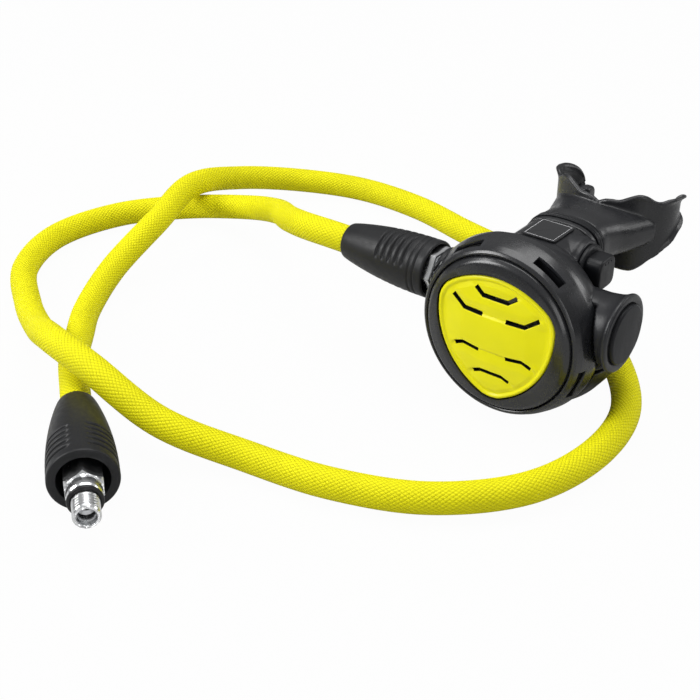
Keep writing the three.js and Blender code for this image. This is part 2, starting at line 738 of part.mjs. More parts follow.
piece('case', cut(
  join(
    cut(bowl, topSlope(0), pocket(0)),
    exhaustSeat,
    cut(rightBoss, turnedX(rod(KNOB_BOSS_R, 15, 30), 20, KNOB_Y, KNOB_Z)),
    rightGusset,
    leftBoss,
    mpTube,
    knobBossFront,
  ),
  ringSpace,
  frontSpace,
  cut(hollow, topSlope(BOWL_WALL), pocket(BOWL_WALL - 0.6)),
  airway,
  turnedX(rod(TUBE_R + RUN_CLEAR, LEFT_BOSS_X - 2, BOSS_FLOOR_X + 2)),
  turnedX(rod(CAP_SPIGOT_R + RUN_CLEAR, BOSS_FLOOR_X, RIGHT_BOSS_X + 2)),
  turnedX(rod(CAP_R + GAP, RIGHT_BOSS_X - 1.3, RIGHT_BOSS_X + 2), 28),
  turnedX(rod(KNOB_STEM_R + RUN_CLEAR, 2, KNOB_BOSS_X + 2), SMALL, KNOB_Y, KNOB_Z),
  turnedX(rod(KNOB_STEM_R + 2.3, KNOB_BOSS_X - 2.6, KNOB_BOSS_X + 2), SMALL, KNOB_Y, KNOB_Z),
  ...exhaustHoles,
  prismY(valveStemHole, 28, 38, 6),
), BLACK);

// ---------- valve ----------
const window = box(9.6, 17.4, VALVE_Y - TUBE_R - 1, VALVE_Y - 1, VALVE_Z - 4, VALVE_Z + 4);
const shoulderX = LEFT_BOSS_X - GAP;
piece('valve_tube', cut(
  turnedX([
    [TUBE_IN_R, TUBE_LEFT_X],
    [INLET_R, TUBE_LEFT_X],
    [INLET_R, shoulderX],
    [TUBE_R, shoulderX],
    [TUBE_R, TUBE_RIGHT_X],
    [TUBE_IN_R, TUBE_RIGHT_X],
    [TUBE_IN_R, TUBE_LEFT_X],
  ]),
  window,
), CHROME);

const ORIFICE_BACK_X = TUBE_LEFT_X + 8;
const ORIFICE_NOSE_X = ORIFICE_BACK_X + 10.7;
piece('orifice', turnedX([
  [1.4, ORIFICE_BACK_X],
  [TUBE_IN_R - GAP, ORIFICE_BACK_X],
  [TUBE_IN_R - GAP, ORIFICE_NOSE_X - 2.4],
  [2.1, ORIFICE_NOSE_X - 0.6],
  [1.7, ORIFICE_NOSE_X],
  [1.4, ORIFICE_NOSE_X],
  [1.4, ORIFICE_BACK_X],
], 14), BRASS);

const POPPET_FACE_X = ORIFICE_NOSE_X + GAP;
const SEAT_R = 2.7;
const SEAT_DEPTH = 1.6;
const POPPET_STEM_R = 1.5;
const POPPET_HEAD_X = POPPET_FACE_X + 6; // back of the poppet's head
const POPPET_END_X = 24;
piece('poppet', turnedX([
  [0, POPPET_FACE_X + SEAT_DEPTH],
  [SEAT_R, POPPET_FACE_X + SEAT_DEPTH],
  [SEAT_R, POPPET_FACE_X],
  [TUBE_IN_R - 0.45, POPPET_FACE_X],
  [TUBE_IN_R - 0.45, POPPET_HEAD_X],
  [POPPET_STEM_R, POPPET_HEAD_X],
  [POPPET_STEM_R, POPPET_END_X],
  [0, POPPET_END_X],
], 14), BRASS);
piece('seat_disc', turnedX(
  rod(SEAT_R - GAP, POPPET_FACE_X, POPPET_FACE_X + SEAT_DEPTH - GAP),
  14,
), DARK);

const GUIDE_X = 3;
piece('spring_guide', turnedX(
  band(POPPET_STEM_R + 0.4, TUBE_IN_R - GAP, GUIDE_X, GUIDE_X + 3),
  14,
), BRASS);
const POPPET_WIRE_R = 0.35;
piece('poppet_spring', coil(
  2.7,
  POPPET_WIRE_R,
  POPPET_HEAD_X + POPPET_WIRE_R + GAP,
  GUIDE_X - POPPET_WIRE_R - GAP,
  7,
  (c, s, t) => new THREE.Vector3(t, VALVE_Y + c, VALVE_Z + s),
), STEEL);
piece('lever_nut', cut(
  prismX(hexagon(5.4, VALVE_Y, VALVE_Z), POPPET_NUT_X, POPPET_NUT_X + 2.8),
  turnedX(rod(POPPET_STEM_R + GAP, POPPET_NUT_X - 1, POPPET_NUT_X + 4), 12),
), STEEL);

// The lever lies along the valve and leans up to the diaphragm's plate; two feet enter the window.
const leverTopY = PLATE_FRONT_Y + PLATE_T + 0.25;
const leverHeelX = LEVER_X + LEVER_FOOT / 2;
const leverHeelY = VALVE_Y - TUBE_R - GAP;
const arm = new THREE.Shape([
  new THREE.Vector2(leverHeelX, leverHeelY),
  new THREE.Vector2(LEVER_TIP_X, leverTopY + LEVER_T),
  new THREE.Vector2(LEVER_TIP_X, leverTopY),
  new THREE.Vector2(LEVER_TIP_X + 2, leverTopY),
  new THREE.Vector2(leverHeelX, leverHeelY - LEVER_T),
]);
const armGeometry = new THREE.ExtrudeGeometry(arm, { depth: 2 * LEVER_HALF_W, bevelEnabled: false });
armGeometry.translate(0, 0, VALVE_Z - LEVER_HALF_W);
const footWidth = LEVER_HALF_W - POPPET_STEM_R - 0.4;
const feet = [-1, 1].map((side) => box(
  LEVER_X - LEVER_FOOT / 2,
  leverHeelX,
  leverHeelY - 0.3,
  VALVE_Y - 0.7,
  VALVE_Z + (side > 0 ? LEVER_HALF_W - footWidth : -LEVER_HALF_W),
  VALVE_Z + (side > 0 ? LEVER_HALF_W : -LEVER_HALF_W + footWidth),
));
piece('demand_lever', join(toSolid(armGeometry), ...feet), STEEL);

piece('tube_end_nut', cut(
  prismX(hexagon(12, VALVE_Y, VALVE_Z), BOSS_FLOOR_X + 0.6, TUBE_RIGHT_X - GAP),
  turnedX(rod(TUBE_R + GAP, BOSS_FLOOR_X - 1, TUBE_RIGHT_X + 1)),
), CHROME);
piece('side_cap', turnedX([
  [0, RIGHT_BOSS_X - 1],
  [CAP_SPIGOT_R - 1.8, RIGHT_BOSS_X - 1],
  [CAP_SPIGOT_R - 1.8, BOSS_FLOOR_X + 2],
  [CAP_SPIGOT_R, BOSS_FLOOR_X + 2],
  [CAP_SPIGOT_R, RIGHT_BOSS_X - 1],
  [CAP_R, RIGHT_BOSS_X - 1],
  [CAP_R, CAP_FACE_X - 0.7],
  [CAP_R - 0.7, CAP_FACE_X],
  [0, CAP_FACE_X],
], 28), BLACK);
piece('inlet_lock_nut', turnedX([
  [INLET_R + GAP, NUT_FACE_X + GAP],
  [8.4, NUT_FACE_X + GAP],
  [8.7, NUT_FACE_X + GAP + 0.3],
  [8.7, LOCK_NUT_X],
  [INLET_R + GAP, LOCK_NUT_X],
  [INLET_R + GAP, NUT_FACE_X + GAP],
]), CHROME);

// ---------- venturi control ----------
const knobFlangeX = KNOB_BOSS_X + GAP;
piece('venturi_knob', join(
  turnedX([
    [0, 11],
    [KNOB_STEM_R, 11],
    [KNOB_STEM_R, knobFlangeX],
    [KNOB_BOSS_R - 1.2, knobFlangeX],
    [KNOB_BOSS_R - 1.2, knobFlangeX + 1.4],
    [KNOB_BOSS_R - 2, knobFlangeX + 2],
    [0, knobFlangeX + 2],
  ], SMALL, KNOB_Y, KNOB_Z),
  prismX(roundedSquare(KNOB_GRIP, 3.4, KNOB_Y, KNOB_Z), knobFlangeX + 1, KNOB_FACE_X - 0.8, 4),
  prismX(roundedSquare(KNOB_GRIP - 1.6, 2.8, KNOB_Y, KNOB_Z), KNOB_FACE_X - 1.2, KNOB_FACE_X, 4),
), DARK);
piece('knob_o_ring', turnedX(
  band(KNOB_STEM_R + GAP, KNOB_STEM_R + 2, KNOB_BOSS_X - 2.3, KNOB_BOSS_X - 0.4),
  20,
  KNOB_Y,
  KNOB_Z,
), RUBBER);
piece('venturi_vane', box(-4, 11 - GAP, KNOB_Y - 0.6, KNOB_Y + 0.6, KNOB_Z - VANE_R, KNOB_Z + VANE_R), DARK);

// ---------- exhaust ----------
const valveDisc = turnedY([
  [0, 30.6],
  [1, 30.6],
  [2.1, 31.2],
  [1.2, 31.9],
  [1.2, BOWL_BACK_Y + GAP],
  [EXHAUST_R, BOWL_BACK_Y + GAP],
  [EXHAUST_R, BOWL_BACK_Y + GAP + 0.7],
  [2, BOWL_BACK_Y + GAP + 1.2],
  [0, BOWL_BACK_Y + GAP + 1.2],
], SMALL);
piece('exhaust_valve', valveDisc.translate([0, 0, EXHAUST_Z]), SILICONE);

const FAR = 80;
const teeOuter = turnedY([
  [0, TEE_FRONT_Y],
  [BOWL_R + 1, TEE_FRONT_Y],
  [BOWL_R + 1.6, TEE_FRONT_Y + 1.6],
  [TEE_R, 25],
  [TEE_R, 37],
  [TEE_R - 2, 42.6],
  [TEE_R - 6.4, 47],
  [TEE_R - 12, TEE_BACK_Y],
  [0, TEE_BACK_Y],
]);
const teeInner = turnedY([
  [0, BOWL_BACK_Y + GAP],
  [BACK_FLAT_R + 3.4, BOWL_BACK_Y + GAP],
  [BOWL_R - 3, 30],
  [BOWL_R - 0.6, 24.2],
  [BOWL_R + 0.4, 19],
  [BOWL_R + 0.4, TEE_FRONT_Y - 1],
  [TEE_R, TEE_FRONT_Y - 1],
  [TEE_R, TEE_FRONT_Y - 2],
  [0, TEE_FRONT_Y - 2],
]);
const teeRoom = turnedY([
  [0, BOWL_BACK_Y - 2],
  [BOWL_R - 4, BOWL_BACK_Y - 2],
  [TEE_R - TEE_WALL, 36.6],
  [TEE_R - TEE_WALL - 1.8, 41.6],
  [TEE_R - TEE_WALL - 5.8, 45],
  [TEE_R - TEE_WALL - 11, TEE_BACK_Y - TEE_WALL],
  [0, TEE_BACK_Y - TEE_WALL],
]);
const below = (solid, z) => cut(solid, box(-FAR, FAR, -FAR, FAR, z, FAR));
const outlets = [-1, 1].map((side) => box(
  side > 0 ? 27 : -FAR,
  side > 0 ? FAR : -27,
  BOWL_BACK_Y + 2.4,
  43.6,
  -27,
  TEE_TOP_Z - TEE_WALL,
));
piece('exhaust_tee', cut(
  below(teeOuter, TEE_TOP_Z),
  teeInner,
  below(teeRoom, TEE_TOP_Z - TEE_WALL),
  ...outlets,
  box(-FAR, FAR, -FAR, BOWL_BACK_Y - 0.5, TEE_CHEEK_Z, FAR),
  box(-FAR, FAR, -FAR, FAR, -FAR, -STAND_Z),
), BLACK);

// ---------- mouthpiece ----------
const mpSleeveY = MP_TUBE_END_Y + GAP;
const [sleeveW, sleeveH] = [MP_SLEEVE_W / 2, MP_SLEEVE_H / 2];
const mpOuter = loft([
  oval(mpSleeveY, sleeveW, sleeveH, MP_TUBE_Z),
  oval(TIE_Y - 0.1, sleeveW, sleeveH, MP_TUBE_Z),
  oval(TIE_Y, sleeveW - 0.8, sleeveH - 0.8, MP_TUBE_Z),
  oval(TIE_Y + TIE_W + 2 * GAP, sleeveW - 0.8, sleeveH - 0.8, MP_TUBE_Z),
  oval(TIE_Y + TIE_W + 2 * GAP + 0.1, sleeveW, sleeveH, MP_TUBE_Z),
  oval(61, sleeveW, sleeveH - 0.2, MP_TUBE_Z),
  oval(68, sleeveW + 1.4, sleeveH - 0.8, 22),
  oval(76, sleeveW + 4.2, sleeveH - 1, 21.2),
  oval(88, sleeveW + 8, sleeveH - 1, FLANGE_Z),
]);
const mpInner = loft([
  oval(mpSleeveY - 1, SPIGOT_W / 2 + GAP, SPIGOT_H / 2 + GAP, MP_TUBE_Z, 3.4),
  oval(SPIGOT_END_Y + GAP, SPIGOT_W / 2 + GAP, SPIGOT_H / 2 + GAP, MP_TUBE_Z, 3.4),
  oval(SPIGOT_END_Y + 3, 13.4, 7.4, 22.4),
  oval(76, 14, 6.6, 21.2),
  oval(FLANGE_Y, 14, 6.2, FLANGE_Z),
]);
// The lip flange follows an oval round the teeth; its edge rises and falls along the way.
function onOval(angle, grow) {
  return [(FLANGE_RX + grow) * Math.sin(angle), FLANGE_Y - (FLANGE_RY + grow) * Math.cos(angle)];
}
function flangeSection([angle, top, foot]) {
  const rim = Math.min((top + foot) / 3, 4);
  const curl = FLANGE_CURL * THREE.MathUtils.smoothstep(Math.abs(angle), 62, 80);
  const inner = FLANGE_CURL * THREE.MathUtils.smoothstep(Math.abs(angle), 112, 126);
  return [
    [1, 0.8 - foot, curl],
    [1, rim - foot, inner],
    [1, (top - foot) / 2, inner],
    [1, top - rim, inner],
    [1, top - 0.8, curl],
    [0, top, curl],
    [-1, top - 0.8, curl],
    [-1, top - rim, inner],
    [-1, (top - foot) / 2, inner],
    [-1, rim - foot, inner],
    [-1, 0.8 - foot, curl],
    [0, -foot, curl],
  ].map(([side, z, out]) => {
    const [x, y] = onOval(rad(angle), (side * FLANGE_T) / 2 + out);
    return new THREE.Vector3(x, y, FLANGE_Z + z);
  });
}
const flange = loft([
  ...FLANGE_EDGE.slice(1).reverse().map(([angle, top, foot]) => flangeSection([-angle, top, foot])),
  ...FLANGE_EDGE.map(flangeSection),
]);
const mouthSide = new THREE.Shape(Array.from({ length: 32 }, (_, i) => (
  new THREE.Vector2(...onOval((2 * Math.PI * i) / 32, 0))
)));
const mouthRoom = new THREE.ExtrudeGeometry(mouthSide, { depth: 60, bevelEnabled: false });
mouthRoom.translate(0, 0, -10);
const tabs = [-1, 1].map((side) => loft([
  [85.4, 0, TAB_T, TAB_H],
  [90, 0.4, TAB_T * 0.8, TAB_H],
  [MOUTH_END_Y - 7.4, 1.2, TAB_T * 0.8, TAB_H],
  [MOUTH_END_Y - 6.4, 1.2, TAB_T * 1.5, TAB_H],
  [MOUTH_END_Y - 2, 1.6, TAB_T * 1.3, TAB_H - 2],
].map(([y, shift, t, h]) => oval(y, t / 2, h / 2, FLANGE_Z, 4, 12).map((p) => (
  p.add(new THREE.Vector3(side * (TAB_X - shift), 0, 0))
)))));
piece('mouthpiece', cut(
  join(cut(mpOuter, toSolid(mouthRoom)), flange, ...tabs),
  mpInner,
  box(-40, 40, FLANGE_END_Y, 130, 0, 50),
), RUBBER);

const tieIn = [sleeveW - 0.8 + GAP, sleeveH - 0.8 + GAP];
const [tieY0, tieY1] = [TIE_Y + GAP, TIE_Y + GAP + TIE_W];
piece('mouthpiece_tie', join(
  cut(
    loft([
      oval(tieY0, tieIn[0] + TIE_T, tieIn[1] + TIE_T, MP_TUBE_Z),
      oval(tieY1, tieIn[0] + TIE_T, tieIn[1] + TIE_T, MP_TUBE_Z),
    ]),
    loft([oval(tieY0 - 1, ...tieIn, MP_TUBE_Z), oval(tieY1 + 1, ...tieIn, MP_TUBE_Z)]),
  ),
  box(-3, 3, tieY0, tieY1, MP_TUBE_Z - tieIn[1] - 4, MP_TUBE_Z - tieIn[1] - 0.4),
), DARK);

const badgeZ = MP_TUBE_Z + MP_TUBE_H / 2 + GAP;
piece('badge_plate', box(
  -BADGE_W / 2,
  BADGE_W / 2,
  BADGE_Y - BADGE_L / 2,
  BADGE_Y + BADGE_L / 2,
  badgeZ,
  badgeZ + BADGE_T,
), DARK);

// ---------- hose and what is on it ----------
const hoseR = HOSE_D / 2;
const sleeveBore = hoseR + SLEEVE_CLEAR;
const GROOVES = 5;
const GROOVE_PITCH = 3.6;
const GROOVE_DEPTH = 0.8;
const GROOVE_W = 1.3;

// Rubber sleeve profile along its axis: 0 at the mouth, length at the open end.
function sleeveProfile(length, mouthR, openR) {
  const swell = (x) => Math.sin((Math.PI / 2) * Math.min(x / (length - 6), 1)) ** 0.8;
  const bulge = (x) => mouthR + (openR - mouthR) * swell(x);
  const outer = [[mouthR - 0.6, 0], [mouthR, 0.8], [bulge(5), 5], [bulge(13), 13]];
  const first = length - 4 - GROOVES * GROOVE_PITCH;
  outer.push([bulge(first - 2), first - 2]);
  for (let i = 0; i < GROOVES; i += 1) {
    const x = first + i * GROOVE_PITCH;
    outer.push(
      [bulge(x), x],
      [bulge(x) - GROOVE_DEPTH, x + GROOVE_W / 2],
      [bulge(x + GROOVE_W), x + GROOVE_W],
    );
  }
  outer.push([openR, length - 1], [openR - 0.8, length]);
  return outer;
}

const inletMouthX = IN_SLEEVE_OPEN_X - IN_SLEEVE_LENGTH;
const toInlet = (points) => points.map(([r, t]) => [r, inletMouthX + t]);
piece('inlet_sleeve', turnedX(toInlet([
  ...sleeveProfile(IN_SLEEVE_LENGTH, SLEEVE_MOUTH_R, 13.2),
  [IN_CAVITY_R, IN_SLEEVE_LENGTH],
  [IN_CAVITY_R, IN_SLEEVE_LENGTH - 12],
  [FERRULE_R + 0.6, IN_SLEEVE_LENGTH - 15],
  [FERRULE_R + 0.6, 26],
  [sleeveBore, 22],
  [sleeveBore, 0],
  [SLEEVE_MOUTH_R - 0.6, 0],
])), RUBBER);

const nutWallX = TUBE_LEFT_X - 1.8;
piece('swivel_nut', cut(
  prismX(hexagon(NUT_AF, VALVE_Y, VALVE_Z), NUT_END_X, NUT_FACE_X),
  turnedX(rod(INLET_R + RUN_CLEAR, nutWallX, NUT_FACE_X + 1)),
  turnedX(rod(4.35, NUT_END_X - 1, NUT_X)),
), CHROME);
piece('hose_ferrule', turnedX([
  [2, HOSE_START_X + GAP],
  [FERRULE_R - 0.4, HOSE_START_X + GAP],
  [FERRULE_R, HOSE_START_X + GAP + 0.4],
  [FERRULE_R, NUT_END_X - 0.7],
  [FERRULE_R - 0.4, NUT_END_X - GAP],
  [4, NUT_END_X - GAP],
  [4, nutWallX + GAP],
  [5.6, nutWallX + GAP],
  [5.6, TUBE_LEFT_X - GAP],
  [2, TUBE_LEFT_X - GAP],
  [2, HOSE_START_X + GAP],
]), STEEL);

const route = new THREE.CatmullRomCurve3(
  HOSE_POINTS.map((p) => new THREE.Vector3(...p)),
  false,
  'centripetal',
);
const hoseSection = new THREE.Shape(Array.from({ length: HOSE_SIDES }, (_, i) => new THREE.Vector2(
  hoseR * Math.cos(rad((360 * i) / HOSE_SIDES)),
  hoseR * Math.sin(rad((360 * i) / HOSE_SIDES)),
)));
piece('lp_hose', toSolid(new THREE.ExtrudeGeometry(hoseSection, {
  steps: HOSE_STEPS,
  extrudePath: route,
})), BRAID, group);

// The far end: local +X runs out of the hose, its straight end starts at 0.
const hoseEnd = new THREE.Group();
hoseEnd.position.set(...END_START);
hoseEnd.rotation.z = rad(END_ANGLE);
group.add(hoseEnd);
const onAxis = (points, sides = SMALL) => turnedX(points, sides, 0, 0);
piece('end_sleeve', onAxis([
  ...sleeveProfile(END_SLEEVE_LENGTH, SLEEVE_MOUTH_R, 14.3),
  [SLEEVE_CAVITY_R, END_SLEEVE_LENGTH],
  [SLEEVE_CAVITY_R, 27.5],
  [FERRULE_R + 0.6, 23.5],
  [FERRULE_R + 0.6, 3.4],
  [sleeveBore, 1.8],
  [sleeveBore, 0],
  [SLEEVE_MOUTH_R - 0.6, 0],
].map(([r, t]) => [r, END_SLEEVE_X + t])), RUBBER, hoseEnd);
piece('end_ferrule', onAxis([
  [2, END_HOSE + GAP],
  [FERRULE_R - 0.4, END_HOSE + GAP],
  [FERRULE_R, END_HOSE + 0.8],
  [FERRULE_R, 34],
  [FERRULE_R - 0.6, 34.6],
  [5, 34.6],
  [5, END_HEX_X - GAP],
  [2, END_HEX_X - GAP],
  [2, END_HOSE + GAP],
]), STEEL, hoseEnd);
const thread = [];
for (let x = END_THREAD_X; x < END_NOSE_X - 3; x += 2.2) {
  thread.push([THREAD_R, x], [THREAD_R, x + 1], [THREAD_R - 0.7, x + 1.6]);
}
piece('end_fitting', cut(
  join(
    prismX(hexagon(END_AF, 0, 0, 30), END_HEX_X, END_COLLAR_X)
      .intersect(onAxis([
        [0, END_HEX_X - 1],
        [END_AF / 2 + 1.4, END_HEX_X - 1],
        [END_AF / 2 + 1.4, END_COLLAR_X - 1],
        [END_AF / 2 + 0.2, END_COLLAR_X + 0.2],
        [0, END_COLLAR_X + 0.2],
      ])),
    onAxis([
      [0, END_COLLAR_X - 1],
      [END_COLLAR_R, END_COLLAR_X - 1],
      [END_COLLAR_R, END_SEAT_X - 1],
      [END_COLLAR_R - 0.4, END_SEAT_X],
      [END_NECK_R, END_SEAT_X],
      [END_NECK_R, END_THREAD_X],
      ...thread,
      [THREAD_R, END_NOSE_X - 1],
      [THREAD_R - 0.4, END_NOSE_X],
      [0, END_NOSE_X],
    ]),
  ),
  onAxis(rod(END_BORE_R, END_COLLAR_X, END_NOSE_X + 1)),
  onAxis(rod(2, END_HEX_X - 1, END_NOSE_X), 14),
), CHROME, hoseEnd);
const O_RING = 0.95;
piece('end_o_ring', onAxis(Array.from({ length: 7 }, (_, i) => [
  END_NECK_R + GAP + O_RING - O_RING * Math.cos((Math.PI * i) / 3),
  END_SEAT_X + GAP + O_RING + O_RING * Math.sin((Math.PI * i) / 3),
])), DARK, hoseEnd);

export default group;
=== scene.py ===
import json
import math
from contextlib import contextmanager

import bmesh
import bpy
from mathutils import Matrix, Vector

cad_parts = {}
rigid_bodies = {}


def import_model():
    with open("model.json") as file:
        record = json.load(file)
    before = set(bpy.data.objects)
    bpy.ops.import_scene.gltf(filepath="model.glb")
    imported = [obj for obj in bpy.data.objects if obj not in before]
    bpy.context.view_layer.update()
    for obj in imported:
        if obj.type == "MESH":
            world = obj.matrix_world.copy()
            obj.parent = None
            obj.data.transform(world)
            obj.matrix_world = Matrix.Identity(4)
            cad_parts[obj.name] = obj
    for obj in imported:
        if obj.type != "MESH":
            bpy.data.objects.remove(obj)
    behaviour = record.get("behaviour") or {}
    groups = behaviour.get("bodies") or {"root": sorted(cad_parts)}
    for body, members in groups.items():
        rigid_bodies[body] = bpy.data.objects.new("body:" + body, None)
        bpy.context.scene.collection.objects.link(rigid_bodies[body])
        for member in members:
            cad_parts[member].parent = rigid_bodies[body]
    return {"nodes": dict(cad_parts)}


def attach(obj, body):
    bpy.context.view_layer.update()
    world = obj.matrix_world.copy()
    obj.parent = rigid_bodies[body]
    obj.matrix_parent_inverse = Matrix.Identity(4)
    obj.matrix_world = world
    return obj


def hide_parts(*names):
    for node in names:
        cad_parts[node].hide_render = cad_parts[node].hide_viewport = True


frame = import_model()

bl_info = {
    "name": "Diving Regulator Second Stage",
    "version": (1, 0, 0),
    "blender": (4, 5, 0),
    "location": "3D View > Sidebar > Regulator",
    "description": "Builds a diving regulator second stage with its braided low-pressure hose",
    "category": "Object",
}

# ---------- sizes shared by the pieces, in millimetres, in the cover's own frame ----------
# The cover's axis runs along Y through X 0, Z 0. ORIGIN moves that frame to where the part stands.
ORIGIN = Vector((0.8, -53.0, 42.0))
MM = 0.001
CLEAR = 0.3

GROOVE_R = 35.0
RING_REAR_Y = 13.8
SLOT_ANGLES = (60, 120, -20, 200)
SLOT_HALF_ANGLE = 11.0
SLOT_Y = (2.2, 6.4)

SHIELD_CORNER = (27.3, 15.0)
SHIELD_TIP_Z = -30.4
SHIELD_TOP_R = 37.0
SHIELD_SIDE_R = 40.0
BUTTON_FRONT_Y = -5.0
BUTTON_DOME_R = 240.0
STEM_R = 3.4

BOWL_R = 39.4
BOWL_BACK_Y = 35.0
NECK_R = 37.6
NECK_IN_R = 34.6
NECK_Y = 11.5
SHOULDER_Y = 14.1

VALVE_Y = 20.6
VALVE_Z = 7.3
RIGHT_BOSS_X = 47.0
LEFT_BOSS_X = -40.2
CAP_R = 13.0
CAP_SPIGOT_R = 11.4
CAP_FACE_X = 48.4

TUBE_Z = 22.6
TUBE_W = 34.0
TUBE_H = 22.0
TUBE_END_Y = 46.4
SPIGOT_W = 30.2
SPIGOT_H = 18.2
SPIGOT_END_Y = 60.0

KNOB_Y = 39.5
KNOB_Z = 21.0
KNOB_BOSS_R = 11.5
KNOB_BOSS_X = 17.8
KNOB_FLANGE_X = KNOB_BOSS_X + CLEAR
KNOB_GRIP = 14.2
KNOB_CORNER = 4.6
KNOB_FACE_X = 27.5

EXHAUST_Z = -18.6
TEE_R = 42.8
TEE_FRONT_Y = 16.0
TEE_BACK_Y = 49.4
TEE_TOP_Z = -4.0
TEE_CHEEK_Z = -13.0
TEE_WALL = 2.2

MP_SLEEVE_W = 34.8
MP_SLEEVE_H = 23.0
TIE_Y = 50.3
TIE_W = 4.2
TIE_GROOVE = 0.8
FLANGE_Z = 20.8
FLANGE_Y = 99.6
FLANGE_RX = 28.2
FLANGE_RY = 19.6
FLANGE_END_Y = 111.0
MOUTH_END_Y = 107.0
TAB_X = 19.5
# Reach of the lip flange above and below its middle, by the angle round to each side.
FLANGE_EDGE = (
    (0, 11.6, 15.0), (6, 13.2, 16.0), (13, 13.8, 17.6), (20, 14.0, 18.8), (29, 16.0, 19.6), (38, 17.5, 19.6),
    (47, 16.9, 17.2), (56, 14.7, 14.0), (64, 13.9, 12.4), (72, 15.0, 9.0), (81, 15.2, 6.0), (91, 14.8, 3.0),
    (102, 14.0, 1.4), (113, 12.4, 0.0), (121, 9.8, -1.0), (126, 5.6, -1.4),
)
FLANGE_CURL = 2.0

SLEEVE_MOUTH_R = 8.0
SLEEVE_INNER_R = 8.5
SLEEVE_BORE_R = 6.9
NUT_AF = 19.5
END_AF = 15.0
IN_SLEEVE_LENGTH = 48.0
IN_SLEEVE_OPEN_X = -44.8
IN_SLEEVE_R = 13.2
IN_CAVITY = (11.8, IN_SLEEVE_LENGTH - 12)
IN_INNER_START = 22.0
IN_PANEL = (196.0, 34.0)
IN_RIDGED = 5.4
END_SLEEVE_X = 9.5
END_SLEEVE_LENGTH = 53.0
END_SLEEVE_R = 14.3
END_CAVITY = (10.5, 27.0)
END_INNER_START = 1.8
END_PANEL = (90.0, 18.0)
END_START = Vector((-135.9, -165.1, 14.4))
END_ANGLE = -39.86
THREAD_R = 5.5
END_NECK_R = 5.0
END_COLLAR_X = 68.5
END_COLLAR_R = 7.1
END_SEAT_X = 74.5
END_THREAD_X = 77.0
END_NOSE_X = 86.0
END_BORE_R = 3.7

# Middle line of the hose, laid on the surface, in metres in the part's own frame.
HOSE_POINTS = [
    (-0.0612, -0.0324, 0.0493), (-0.0822, -0.0324, 0.0493), (-0.1026, -0.0322, 0.0491),
    (-0.122, -0.0272, 0.0459), (-0.1425, -0.0148, 0.039), (-0.169, 0.0065, 0.028),
    (-0.2017, 0.019, 0.0165), (-0.2392, 0.0105, 0.009), (-0.2642, -0.0155, 0.0068),
    (-0.2707, -0.0545, 0.0068), (-0.2552, -0.09, 0.0068), (-0.2247, -0.115, 0.0072),
    (-0.1957, -0.1335, 0.013), (-0.1617, -0.1535, 0.0275), (-0.1292, -0.1615, 0.029),
    (-0.0917, -0.16, 0.0165), (-0.0562, -0.147, 0.0074), (-0.0182, -0.14, 0.007),
    (0.0178, -0.1255, 0.008), (0.0443, -0.098, 0.0086), (0.0533, -0.061, 0.0075),
    (0.0483, -0.023, 0.0068), (0.0278, 0.0095, 0.0068), (-0.0012, 0.0345, 0.0068),
    (-0.0327, 0.057, 0.0068), (-0.0667, 0.075, 0.0068), (-0.1042, 0.0845, 0.0068),
    (-0.1412, 0.094, 0.0068), (-0.1817, 0.0945, 0.0068), (-0.2132, 0.0775, 0.0095),
    (-0.2312, 0.0465, 0.0165), (-0.2312, 0.0085, 0.025), (-0.2207, -0.0295, 0.0205),
    (-0.2157, -0.066, 0.01), (-0.1987, -0.1, 0.007), (-0.178, -0.124, 0.011),
    (-0.158, -0.146, 0.014), (-0.1403, -0.1614, 0.0144), (-0.12515, -0.17407, 0.0144),
]
HOSE_RING_STEP = 0.0012
HOSE_SIDES = 40

# The photographed view: where the camera stands and how it is turned.
CAMERA_PLACE = Vector((0.24598, -0.47751, 0.32056))
CAMERA_RIGHT = Vector((0.79391, 0.60798, 0.00786))
CAMERA_UP = Vector((-0.31427, 0.39925, 0.86130))
CAMERA_LENS = 69.43
SENSOR = 36.0

AXIS_X = Vector((1.0, 0.0, 0.0))
AXIS_Y = Vector((0.0, 1.0, 0.0))


# ---------- what a user can change ----------
def length_property(name, description, default, low, high):
    return bpy.props.FloatProperty(name=name, description=description, default=default, min=low, max=high,
                                   unit="LENGTH", subtype="DISTANCE", precision=4)


def colour_property(name, description, default):
    return bpy.props.FloatVectorProperty(name=name, description=description, default=default, subtype="COLOR",
                                         size=3, min=0.0, max=1.0)


class RegulatorSizes(bpy.types.PropertyGroup):
    """Sizes of the regulator that can be changed without moving a piece off its seat"""

    hose_diameter: length_property(
        "Hose diameter", "Outer diameter of the braided hose", 0.013, 0.009, 0.0135)
    braid_strands: bpy.props.IntProperty(
        name="Braid strands", description="Strands of the braid round the hose, each way",
        default=24, min=8, max=60)
    ring_radius: length_property(
        "Ring radius", "Retaining ring at its widest", 0.0404, 0.0396, 0.0408)
    button_slot: length_property(
        "Button slot width", "Width of the water slots in the purge button", 0.0019, 0.0006, 0.0024)
    button_rim: length_property(
        "Button rim", "Width of the raised rim round the purge button", 0.0022, 0.001, 0.004)
    groove_depth: length_property(
        "Grip groove depth", "Depth of the grooves in the rubber sleeves", 0.0011, 0.0002, 0.0014)
    thread_pitch: length_property(
        "Thread pitch", "Pitch of the thread on the end fitting", 0.0016, 0.0008, 0.003)


